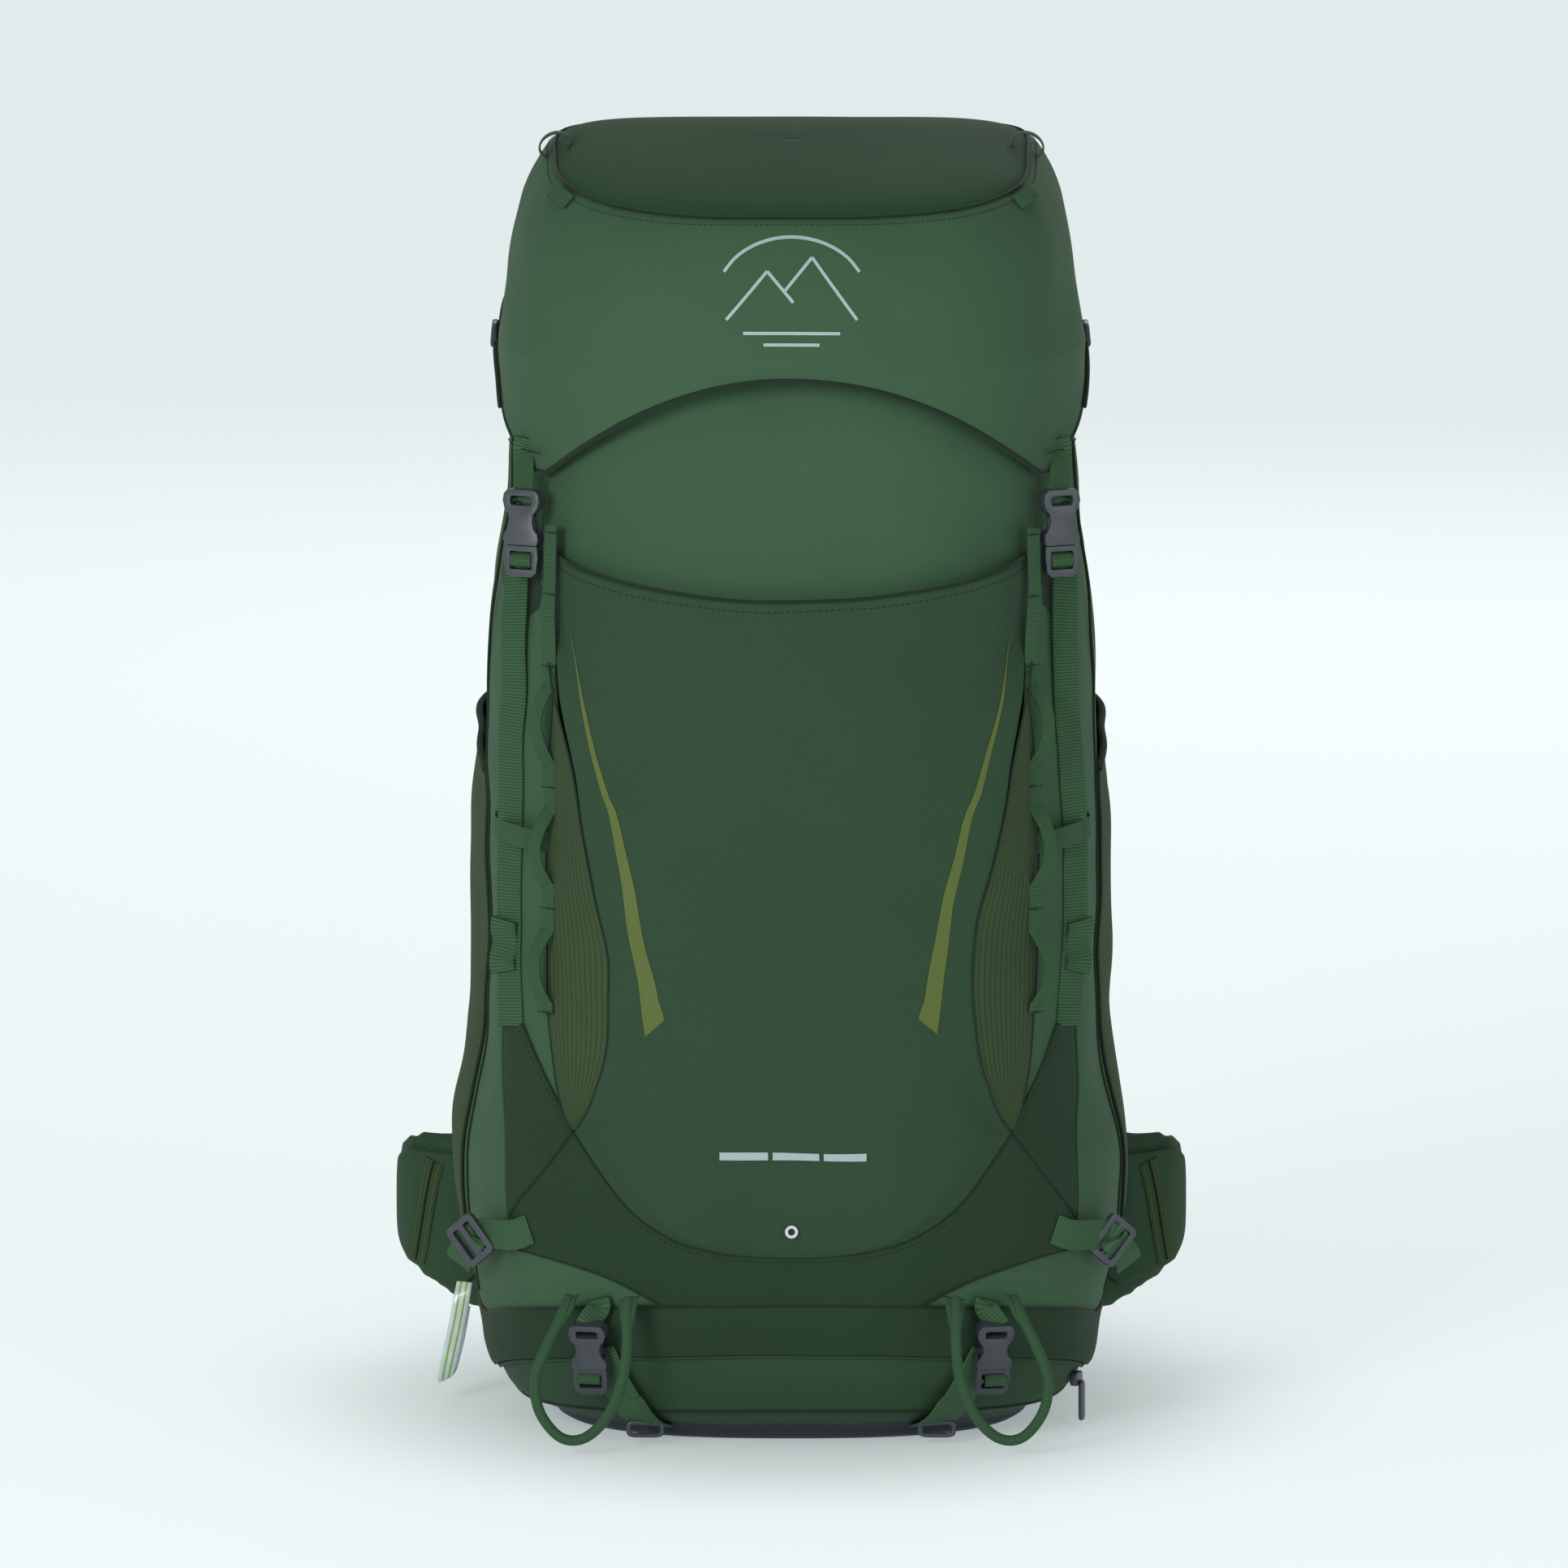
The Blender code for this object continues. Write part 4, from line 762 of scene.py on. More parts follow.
def puffed(item, voxel=0.005, pressure=4.0, cap=0.010, frames=20):
    """Padded form: the shape is remeshed, blown up as cloth, held within the cap, and made a mesh again."""
    bpy.ops.object.select_all(action="DESELECT")
    scene = bpy.context.scene
    bpy.context.view_layer.update()
    remesh = item.modifiers.new("even", "REMESH")
    remesh.mode = "VOXEL"
    remesh.voxel_size = voxel
    graph = bpy.context.evaluated_depsgraph_get()
    even = bpy.data.meshes.new_from_object(item.evaluated_get(graph), depsgraph=graph)
    item.modifiers.clear()
    trial = bpy.data.objects.new(item.name + "_trial", even)
    scene.collection.objects.link(trial)
    start = np.empty(len(even.vertices) * 3)
    even.vertices.foreach_get("co", start)
    start = start.reshape(-1, 3)
    cloth = trial.modifiers.new("cloth", "CLOTH")
    cloth.settings.use_pressure = True
    cloth.settings.uniform_pressure_force = pressure
    cloth.settings.effector_weights.gravity = 0.0
    cloth.settings.quality = 4
    cloth.settings.tension_stiffness = 25
    cloth.settings.compression_stiffness = 25
    cloth.point_cache.frame_start = 1
    cloth.point_cache.frame_end = frames
    for step in range(1, frames + 1):
        scene.frame_set(step)
    graph = bpy.context.evaluated_depsgraph_get()
    blown = trial.evaluated_get(graph).to_mesh()
    end = np.empty(len(blown.vertices) * 3)
    blown.vertices.foreach_get("co", end)
    end = end.reshape(-1, 3)
    move = end - start
    size = np.linalg.norm(move, axis=1, keepdims=True)
    end = start + move * np.minimum(1.0, cap / np.maximum(size, 1e-9))
    trial.evaluated_get(graph).to_mesh_clear()
    even.vertices.foreach_set("co", end.reshape(-1))
    bpy.data.objects.remove(trial, do_unlink=True)
    scene.frame_set(1)
    old = item.data
    even.materials.clear()
    for paint in old.materials:
        even.materials.append(paint)
    even.polygons.foreach_set("use_smooth", [True] * len(even.polygons))
    item.data = even
    finer = item.modifiers.new("finer", "SUBSURF")
    finer.levels = 1
    finer.render_levels = 1
    return item


def settled(item):
    """Apply the piece's modifiers, so that its mesh is final."""
    bpy.context.view_layer.update()
    graph = bpy.context.evaluated_depsgraph_get()
    final = bpy.data.meshes.new_from_object(item.evaluated_get(graph), depsgraph=graph)
    item.modifiers.clear()
    item.data = final
    return item


def local_frame(where, right, up):
    """Function that takes points of a piece's own frame (right, up, out) to the pack's frame."""
    right, up = Vector(right).normalized(), Vector(up).normalized()
    out = right.cross(up).normalized()
    up = out.cross(right).normalized()
    basis = np.array([right, up, out])
    origin = np.asarray(where, float)
    return (lambda points: np.asarray(points, float) @ basis + origin), basis


def crowded(count, power=1.6):
    """Parameter from 0 to 1 with its steps closer together towards both ends."""
    share = np.linspace(-1, 1, count)
    return 0.5 + 0.5 * np.sign(share) * (1 - (1 - np.abs(share)) ** power)


def panel(name, first, low, high, surface_of, body, key, lift=0.0012, roll=0.0025, rows=60):
    """Sewn-on panel between two edges: at each value of first it runs from low to high, and its lift falls
    to nothing over the last roll of cloth at every edge, as a quarter round."""
    first = np.asarray(first, float)
    share = crowded(rows)
    u = np.broadcast_to(first[:, None], (len(first), rows))
    v = low[:, None] + (high - low)[:, None] * share[None]
    flat, _ = surface_of(u, v, 0.0)
    along, _ = lengths(flat)
    edge = np.minimum(along, along[-1] - along)[:, None]
    height = np.abs(high - low)[:, None]
    edge = np.minimum(edge, np.minimum(share, 1 - share)[None] * height)
    near = np.clip(edge / roll, 0, 1)
    rise = lift * np.sqrt(np.clip(1 - (1 - near) ** 2, 0, 1)) + 0.0001
    points, _ = surface_of(u, v, rise)
    return surface(name, points, key, body, inside=(0.0, CENTRE_Y, float(points[..., 2].mean())))


# ------------------------------------------------------------------ main bag
U_ROWS = ((0.0, 0.1085), (0.020, 0.1088), (0.042, 0.1110), (0.067, 0.1190), (0.0925, 0.1376), (0.106, 0.1550),
          (0.1172, 0.1720))
U_X = np.linspace(0, 0.1172, 400)
U_Z = eased(U_ROWS, U_X)[:, 0]
WING_TIP = (0.1425, 0.2265)
WING_TOP = (0.1500, 0.2310)
WING_FOOT = (0.1525, 0.1180)
SWEEP = ((0.0686, 0.0800), (0.090, 0.0905), (0.107, 0.0965), (0.128, 0.1010), (0.1500, 0.1035))


def pocket_half_width(height):
    """Half width of the front pocket at a height: the bowl below the crossing, the waist above it."""
    height = np.asarray(height, float)
    low = np.interp(height, U_Z, U_X)
    high = eased(POCKET_HIGH, np.maximum(height, CROSS_Z))[..., 0]
    return np.where(height < CROSS_Z, low, high)


def pocket_lift(share, height):
    """Lift of the pocket's front off the bag; its edges come down where they are sewn to the bag."""
    height = np.asarray(height, float)
    lift = eased(POCKET_LIFT, height)[..., 0]
    sewn = smooth_step(height, 0.395, 0.440) + smooth_step(-height, -0.205, -0.170)
    edge = smooth_step(np.abs(share), 0.80, 1.0)
    return 0.0012 + lift * (1 - np.clip(sewn, 0, 1) * edge)


def on_pocket(x, z, lift=0.0):
    """Point on the front pocket at x and z. Its level is lower by the hem's rise, found by repetition."""
    level = np.asarray(z, float)
    for _ in range(6):
        share = np.clip(np.abs(x) / np.maximum(pocket_half_width(level), 1e-4), 0, 1)
        level = z - POCKET_HEM_RISE * ((level - U_Z[0]) / (0.4615 - U_Z[0])) ** 4 * share ** 2
    return front(x, z, pocket_lift(share, level) + lift)


def make_bag():
    """Bag skin: closed levels of the plan curve, from the base to the rim."""
    steps = sizes().detail * 2
    share = np.linspace(-1, 1, steps, endpoint=False)
    height = np.linspace(BAG_ROWS[0][0], BAG_ROWS[-1][0], 220)
    u, v = np.broadcast_arrays(share[:, None], height[None])
    points, normal = bag(u, v, 0.0)
    x, z, wide, tall, depth = PLUG_HOLLOW
    near_plug = np.exp(-((np.abs(points[..., :1]) - x) / wide) ** 2 - ((points[..., 2:] - z) / tall) ** 2)
    points = points - normal * depth * near_plug * (points[..., 1:2] < 0)
    skin = surface("bag_skin", points, "cloth", "pack", closed=True, inside=(0, CENTRE_Y, 0.3))
    skin.data.materials.append(finish("panel"))
    skin.data.polygons.foreach_set("material_index", np.tile(height[:-1] < 0.050, steps).astype(int))
    replaced(skin, "packbag")
    lining = np.linspace(-1, 1, 96, endpoint=False)
    u, v = np.broadcast_arrays(lining[:, None], np.linspace(0.012, BAG_ROWS[-1][0], 40)[None])
    inner, _ = bag(u, v, -LINING_DEPTH)
    rim, _ = bag(lining[:, None], np.full((96, 1), BAG_ROWS[-1][0]), 0.0)
    item = surface("bag_lining", np.concatenate([inner, rim], axis=1), "lining", "pack", closed=True,
                   inside=(0, CENTRE_Y, 0.3))
    item.data.flip_normals()


def make_collar():
    """Gathered collar on the rim: pleats are a cosine round the level, deeper towards the drawn top."""
    share = np.linspace(-1, 1, 720, endpoint=False)[:, None]
    rise = np.linspace(0, 1, 14)[None]
    scale = 1 - 0.115 * rise ** 1.5
    angle = np.interp(np.abs(share), LID_SHARE, LID_ANGLE)
    x, y = superellipse(angle, 0.1400, 0.1360, 0.0835)
    pleat = 1 + 0.010 * rise * np.cos(share * 47 * math.pi) + 0.004 * rise * np.cos(share * 113 * math.pi)
    x, y = np.where(share < 0, -x, x) * scale * pleat, CENTRE_Y + (y - CENTRE_Y) * scale * pleat
    z = 0.5868 + 0.0132 * np.sin(rise * math.pi / 2) + 0.0 * share
    points = np.stack(np.broadcast_arrays(x, y, z), -1)
    item = surface("gathered_collar", points, "dark", "pack", closed=True, inside=(0, CENTRE_Y, 0.5))
    replaced(thicken(item, 0.0012), "collar")


def make_base():
    """Dish under the bag: plan rings that turn up at the rim, with a low tread pattern of ribs."""
    share = np.linspace(-1, 1, 480, endpoint=False)[:, None]
    rings = np.array([(0.0, 0.0, 0.0015), (0.35, -0.004, 0.0015), (0.75, -0.004, 0.0012),
                      (0.95, -0.003, 0.0010), (1.0, -0.001, 0.0016), (1.0, 0.0022, 0.0035),
                      (1.0, 0.0038, 0.0065),
                      (1.0, 0.0086, 0.0100), (1.0, 0.0120, 0.0130)])
    t = np.linspace(0, len(rings) - 1, 60)
    scale, grow, z = (np.interp(t, np.arange(len(rings)), rings[:, k])[None] for k in range(3))
    low = BAG_ROWS[0]
    angle = np.interp(np.abs(share), BAG_SHARE, BAG_ANGLE)
    x, y = superellipse(angle, low[1] * scale + grow, low[2] * scale + grow,
                        BACK_DEPTH * 0.93 * scale + grow * 0.4)
    x = np.where(share < 0, -x, x)
    level = z + 0.0016 * np.cos(share * 3 * math.pi) * smooth_step(t, 6.5, 8.0)[None]
    points = np.stack(np.broadcast_arrays(x, y, level), -1)
    item = surface("base_panel_cloth", points, "base", "pack", closed=True, inside=(0, CENTRE_Y, 0.05))
    replaced(thicken(item, 0.0012, 1.0), "base_panel")


def make_lower_panels():
    """Wrap across the front below the pocket, and the dark corner wings beside it."""
    x = np.linspace(-WING_FOOT[0], WING_FOOT[0], sizes().detail * 2 - 1)
    outer = np.interp(np.abs(x), (0.1172, 0.133, 0.145, WING_FOOT[0]), (0.1720, 0.1490, 0.1320, WING_FOOT[1]))
    top = np.where(np.abs(x) < U_X[-1], np.interp(np.abs(x), U_X, U_Z), outer)
    sweep = curve_through(SWEEP, 80)
    foot = np.where(np.abs(x) < SWEEP[0][0], 0.0795 + 0.0 * x, np.interp(np.abs(x), sweep[:, 0], sweep[:, 1]))
    panel("lower_wrap", x, foot, top, front, "pack", "dark", 0.0016, 0.0030, 90)
    for side, word in SIDES:
        x = np.linspace(0.1172, 0.1518, 70)
        low = np.interp(x, (0.1172, 0.133, 0.145, WING_FOOT[0]), (0.1720, 0.1490, 0.1320, WING_FOOT[1]))
        high = np.interp(x, (0.1172, WING_TIP[0], WING_TOP[0], 0.1518),
                         (0.1722, WING_TIP[1], WING_TOP[1], 0.2300))
        panel(f"corner_wing_{word}", side * x, low + 0.0004, high, front, "pack", "dark", 0.0021, 0.0020, 60)
        edge = np.array([(side * 0.1180, 0.1735), (side * 0.1300, 0.1995), (side * 0.1425, 0.2250)])
        flat = curve_through(edge, 40)
        path, normal = front(flat[:, 0] + side * 0.0018, flat[:, 1] - 0.001, 0.0022)
        stitches(f"corner_wing_{word}_stitches", path, normal, "pack")
        slant = curve_through([(side * 0.1172, 0.1720), (side * 0.133, 0.1490), (side * 0.145, 0.1320),
                               (side * WING_FOOT[0], WING_FOOT[1])], 60)
        path, normal = front(slant[:, 0], slant[:, 1], 0.0008)
        round_cord(f"wing_seam_{word}", path, 0.00075, "binding", "pack", 8)
        flat = curve_through([(side * a, b) for a, b in SWEEP], 90)
        path, _ = front(flat[:, 0], flat[:, 1], 0.0007)
        round_cord(f"sweep_seam_{word}", path, 0.0007, "binding", "pack", 8)
    seam = np.linspace(-0.1172, 0.1172, 260)
    path, normal = front(seam, np.interp(np.abs(seam), U_X, U_Z), 0.0011)
    round_cord("pocket_bowl_seam", path, 0.0007, "binding", "pack", 8)
    path, normal = front(seam[30:-30], np.interp(np.abs(seam[30:-30]), U_X, U_Z) - 0.0028, 0.0017)
    stitches("pocket_bowl_stitches", path, normal, "pack", 0.0030)


def make_front_pocket():
    """Pocket front: width follows the bowl and the waist, lift falls at the sewn edges, hem curves up."""
    share = (crowded(sizes().detail, 1.35) * 2 - 1)[:, None]
    rise = (np.linspace(0, 1, 216) ** 1.35)[None]
    height = U_Z[0] + 0.0002 + (0.4615 - U_Z[0]) * rise
    half = pocket_half_width(height)
    x = share * half
    hem = ((height - 0.1085) / (0.4615 - 0.1085)) ** 4
    z = height + POCKET_HEM_RISE * hem * share ** 2
    edge = np.clip((1 - np.abs(share)) * half / 0.0026, 0, 1)
    lift = pocket_lift(share, height) - 0.0011 * (1 - np.sqrt(np.clip(1 - (1 - edge) ** 2, 0, 1)))
    points, _ = front(x, z, lift)
    item = surface("front_pocket_cloth", points, "panel", "pack", inside=(0, CENTRE_Y, 0.3))
    replaced(thicken(item, 0.0010), "front_pocket")
    hem_line = np.linspace(-1, 1, 240)
    x = hem_line * 0.1300
    z = 0.4618 + POCKET_HEM_RISE * hem_line ** 2
    path, normal = front(x, z, pocket_lift(hem_line, np.full(240, 0.4615)) - 0.0003)
    round_cord("pocket_hem_binding", path, 0.0011, "binding", "pack", 10)
    path, normal = front(x[8:-8], z[8:-8] - 0.0052, pocket_lift(hem_line, np.full(240, 0.458))[8:-8] + 0.0001)
    stitches("pocket_hem_stitches", path, normal, "pack")
    for side, word in SIDES:
        z = np.linspace(0.1745, 0.441, 160)
        path, normal = on_pocket(side * pocket_half_width(z), z, -0.0006)
        round_cord(f"pocket_edge_seam_{word}", path, 0.0007, "binding", "pack", 8)


def make_gussets():
    """Stretch panels that fall from the pocket's edge to the bag, a concave curve across their width."""
    for side, word in SIDES:
        z = np.linspace(0.1730, 0.4440, 200)[:, None]
        share = np.linspace(0, 1, 40)[None]
        inner = pocket_half_width(z) + 0.0002
        bow = np.sin(math.pi * np.clip((z - 0.1730) / (0.4480 - 0.1730), 0, 1))
        outer = np.maximum(inner + 0.0006, 0.1172 + 0.0135 * np.clip(bow, 0, 1) ** 0.42)
        x = side * (inner + (outer - inner) * share)
        lift = 0.0010 + (pocket_lift(1.0, z) - 0.0018) * (1 - share) ** 0.8
        points, _ = front(x, z + 0 * share, np.maximum(lift, 0.0008))
        turned = points[::-1].transpose(1, 0, 2)
        item = surface(f"stretch_gusset_{word}", turned, "knit", "pack", inside=(0, CENTRE_Y, 0.3))
        swap_uv(item)
        replaced(thicken(item, 0.0006), f"pocket_gusset_{word}")
        path, _ = front(side * outer[:, 0], z[:, 0], 0.0010)
        round_cord(f"gusset_seam_{word}", path, 0.0008, "binding", "pack", 8)


def swap_uv(item):
    """Turn the pattern a quarter: exchange u and v."""
    layer = item.data.uv_layers[0].data
    flat = np.empty(len(layer) * 2)
    layer.foreach_get("uv", flat)
    layer.foreach_set("uv", flat.reshape(-1, 2)[:, ::-1].reshape(-1).copy())


def make_side_pockets():
    """Stretch pockets on both sides: a bulge that is a sine across and opens towards the bound lip."""
    for side, word in SIDES:
        across = np.linspace(0, 1, 110)[:, None]
        up = np.linspace(0, 1, 150)[None]
        share = side * (0.475 + 0.260 * across)
        slant = 0.034 * (across - 0.45)
        height = 0.104 + (0.264 + slant) * up
        bulge = np.sin(math.pi * across) ** 0.6 * np.clip(up * 2.5, 0, 1) ** 0.8 * (1 - 0.55 * up ** 3)
        folds = 0.0009 * np.cos(across * 15 + 3 * up) * up ** 2 * np.sin(math.pi * across)
        points, _ = bag(share + 0 * up, height + 0 * across, 0.0010 + 0.0070 * bulge + folds)
        item = surface(f"side_pocket_{word}_knit", points, "knit", "pack", inside=(0, CENTRE_Y, 0.25))
        replaced(thicken(item, 0.0008), f"side_pocket_{word}")
        round_cord(f"side_pocket_{word}_lip", points[:, -1], 0.0021, "dark", "pack", 12)
        for word_end, column in (("front", 0), ("back", -1)):
            round_cord(f"side_pocket_{word}_{word_end}_seam", points[column], 0.0011, "binding", "pack", 8)
        round_cord(f"side_pocket_{word}_foot_seam", points[:, 0], 0.0012, "binding", "pack", 8)


def make_base_flap():
    """Weather flap: a strip round the front that swells towards its lower lip and turns under."""
    share = np.linspace(-0.60, 0.60, 400)[:, None]
    bend = np.clip(np.abs(share) / 0.42, 0, 1) ** 2.2
    rows = np.array([(0.0, 0.0004), (0.01, 0.0016), (0.05, 0.0022), (0.2, 0.0027), (0.4, 0.0031),
                     (0.6, 0.0033), (0.8, 0.0036), (0.94, 0.0038), (0.985, 0.0034), (1.0, 0.0026),
                     (0.99, 0.0014), (0.95, 0.0006)])
    t = np.linspace(0, len(rows) - 1, 56)
    fall, lift = (np.interp(t, np.arange(len(rows)), rows[:, k])[None] for k in range(2))
    top, low = 0.0815 - 0.0215 * bend, 0.0545 - 0.0225 * bend
    z = top + (low - top) * fall
    points, _ = bag(share + 0 * fall, z, lift + 0 * share)
    item = surface("base_flap_cloth", points, "dark", "pack", inside=(0, CENTRE_Y, 0.06))
    replaced(item, "base_zip_flap")
    line, _ = bag(share[:, 0], (top - 0.0002)[:, 0], 0.0012)
    round_cord("base_seam", line, 0.0011, "binding", "pack", 8)
    line, _ = bag(share[10:-10, 0], (low - 0.0014)[10:-10, 0], 0.0008)
    round_cord("base_zip_coil", line, 0.0011, "panel", "pack", 8)


def make_panel_seams():
    """Upright side seams with a raised edge, the edge of the front panel, and seams round the back."""
    for side, word in SIDES:
        z = np.linspace(0.112, 0.462, 200)
        x = side * np.interp(z, (0.112, 0.25, 0.36, 0.462), (0.1530, 0.1540, 0.1520, 0.1480))
        path, normal = front(x, z, 0.0006)
        round_cord(f"side_piping_{word}", path, 0.0013, "cloth", "pack", 10)
        path, normal = front(x - side * 0.0026, z, 0.0005)
        stitches(f"side_piping_{word}_stitches", path, normal, "pack", 0.0028)
        z = np.linspace(0.462, 0.560, 60)
        path, normal = front(side * np.linspace(0.1345, 0.1300, 60), z, 0.0004)
        stitches(f"front_seam_{word}_stitches", path, normal, "pack", 0.0028)
        for share, mark in ((0.452, "front"), (0.760, "back")):
            z = np.linspace(0.070, 0.560, 220)
            path, normal = bag(np.full(220, side * share), z, 0.0003)
            round_cord(f"side_seam_{mark}_{word}", path, 0.0009, "binding", "pack", 8)
    share = np.linspace(-0.985, 0.985, 400)
    z = 0.0185 + 0.002 * np.cos(share * 9)
    path, normal = bag(share, z, 0.0003)
    round_cord("foot_seam", path, 0.0008, "binding", "pack", 8)


def arch(z, start, end):
    """Half sine between two heights, and nothing outside them."""
    return np.where((z > start) & (z < end),
                    np.sin(math.pi * np.clip((z - start) / (end - start), 0, 1)), 0.0)


def make_webbing():
    """Side straps with their keepers and folded tails, and the loops of the daisy chains."""
    for side, word in SIDES:
        flat = curve_through([(side * 0.1462, 0.224), (side * 0.1472, 0.30), (side * 0.1453, 0.38),
                              (side * 0.1425, 0.474)], 120)
        path, normal = front(flat[:, 0], flat[:, 1], 0.0042)
        item = flat_strap(f"side_strap_{word}_webbing", path, faced(normal), 0.0152,
                          "webbing", "pack", 0.0015)
        replaced(item, f"side_strap_{word}")
        flat = curve_through([(side * 0.1475, 0.2535), (side * 0.1478, 0.266), (side * 0.1474, 0.2815)], 30)
        path, normal = front(flat[:, 0], flat[:, 1], 0.0062 + 0.0010 * np.sin(np.linspace(0, 9, 30)))
        flat_strap(f"strap_tail_{word}", path, faced(normal), 0.0158, "webbing", "pack", 0.0028)
        x = np.linspace(0.1285, 0.1570, 40)
        wrap = 0.0016 + 0.0056 * smooth_step(x, 0.1300, 0.1390) * smooth_step(-x, -0.1568, -0.1512)
        path, normal = front(side * x, 0.329 + 0.002 * (x - 0.142) / 0.014, wrap)
        flat_strap(f"strap_keeper_{word}", path, faced(normal, 0.35), 0.0115, "loop", "pack", 0.0011)
        z = np.linspace(0.236, 0.496, 260)
        over_hem = smooth_step(z, 0.395, 0.440)
        x, lift = 0.1264 - 0.0040 * over_hem, 0.0052 + 0.0044 * over_hem
        for start, end in ((0.240, 0.281), (0.304, 0.346), (0.370, 0.413)):
            lift = lift + 0.0080 * arch(z, start, end) ** 0.8
            x = x + 0.0022 * arch(z, start, end)
        path, normal = front(side * x, z, lift)
        item = flat_strap(f"daisy_chain_{word}_webbing", path, faced(normal, 0.3), 0.0078,
                          "loop", "pack", 0.0013)
        replaced(item, f"daisy_chain_{word}")
        for count, spot in enumerate((0.2365, 0.2925, 0.3580, 0.4235, 0.4600, 0.4920)):
            reach = 0.0040 * smooth_step(np.array(spot), 0.395, 0.440)
            path, normal = front(side * (np.linspace(0.1238, 0.1300, 8) - reach), np.full(8, spot),
                                 0.0060 + 1.1 * reach)
            stitches(f"bar_tack_{word}_{count}", path, normal, "pack", 0.0007, 0.0022, 0.0004)


def make_compression():
    """Lower side straps: tab out of the wing's corner, through the ladder lock, to the free tail."""
    for side, word in SIDES:
        spot, normal = front(np.array([side * 0.1600]), np.array([0.1075]), 0.0135)
        normal = unit(normal[0] + (0.0, -1.3, 0.0))
        right = np.cross((0.0, 0.0, 1.0), normal)
        tilt = math.radians(40) * side
        up = np.array((0.0, 0.0, 1.0)) * math.cos(tilt) + right * math.sin(tilt)
        place, axes = local_frame(spot[0], np.cross(up, normal), up)
        inward = np.sign(place([(1, 0, 0)])[0][0] - spot[0][0]) * side * -1.0
        start, _ = front(np.array([side * 0.1400]), np.array([0.1165]), 0.0018)
        near, _ = front(np.array([side * 0.1470]), np.array([0.1130]), 0.0060)
        route = np.vstack([start[0], near[0], place([(inward * 0.0050, 0, -0.0014), (0, 0, 0.0026),
                           (-inward * 0.0050, 0, -0.0010), (-inward * 0.0150, -0.0010, -0.0050),
                           (-inward * 0.0215, -0.0030, -0.0090)])])
        path = curve_through(route, 90)
        item = flat_strap(f"compression_strap_{word}_webbing", path, np.broadcast_to(axes[2], path.shape),
                          0.0165, "webbing", "pack", 0.0015)
        replaced(item, f"compression_strap_{word}")
        moulded(f"ladder_lock_{word}", 0.0011, segments=3)


def loop_normal(loop):
    """Outward direction of a small plane loop about its middle."""
    return unit(loop - loop.mean(axis=0))


def make_pad_straps():
    """Pad straps under the front: anchor webbing, buckle, fold over the plug's bar, webbing to the base."""
    for side, word in SIDES:
        spot, _ = front(np.array([side * 0.1005]), np.array([0.0500]), 0.0160)
        turn = math.radians(14) * side
        place, axes = local_frame(spot[0], (math.cos(turn), math.sin(turn), 0.0), (side * 0.10, -0.28, 1.0))
        moulded(f"pad_socket_{word}", 0.0008, segments=3)
        moulded(f"pad_plug_{word}", 0.0007, segments=3)
        top, _ = front(np.array([side * 0.1020]), np.array([0.0835]), 0.0040)
        hold = place([(0, 0.0205, -0.0010)])[0]
        route = np.vstack([top[0], top[0] + (0, -0.0035, -0.0045), hold + (0, 0.0006, 0.0040), hold])
        path = curve_through(route, 40)
        flat_strap(f"pad_anchor_{word}", path, axes[2], 0.0125, "webbing", "pack", 0.0016)
        bar = -0.0150 * 0.48
        angle = np.linspace(0, TAU, 28)
        loop = np.stack([0 * angle, bar + 0.0031 * np.cos(angle), 0.0048 * np.sin(angle)], -1)
        section_along(f"pad_fold_{word}", place(loop), axes[0], loop_normal(loop) @ axes, 0.0120, 0.0011,
                      "loop", f"pad_plug_{word}", count=12)
        flat = curve_through([(side * 0.1000, 0.0560), (side * 0.0925, 0.0400), (side * 0.0790, 0.0180),
                              (side * 0.0715, 0.0085)], 60)
        drop = np.interp(np.linspace(0, 1, 60), (0, 0.2, 0.7, 1), (0.0068, 0.0068, 0.0060, 0.0014))
        path, normal = front(flat[:, 0], flat[:, 1], drop)
        item = flat_strap(f"pad_strap_{word}_webbing", path, normal, 0.0185, "webbing", "pack", 0.0014)
        replaced(item, f"pad_strap_{word}")
        clip_spot, _ = front(np.array([side * 0.0770]), np.array([0.0150]), 0.0074)
        clip, _ = local_frame(clip_spot[0], (1, 0, 0), (-side * 0.5, 0, 1.0))
        ring = np.linspace(0, TAU, 40)
        loop = np.stack([0.0090 * np.sign(np.cos(ring)) * np.abs(np.cos(ring)) ** 0.4,
                         0.0036 * np.sign(np.sin(ring)) * np.abs(np.sin(ring)) ** 0.4, 0 * ring], -1)
        round_cord(f"pad_clip_{word}", clip(loop), 0.0013, "plastic", "pack", 10)


TOOL_LOOP = ((0.1190, -0.1290, 0.0840), (0.1225, -0.1372, 0.0765), (0.1310, -0.1440, 0.0600),
             (0.1372, -0.1460, 0.0430), (0.1350, -0.1465, 0.0250), (0.1240, -0.1465, 0.0110),
             (0.1110, -0.1470, 0.0105), (0.0985, -0.1500, 0.0230), (0.0905, -0.1540, 0.0430),
             (0.0880, -0.1560, 0.0620), (0.0880, -0.1520, 0.0770), (0.0875, -0.1452, 0.0860))
TOOL_LOOP_DIAMETER = 0.0058


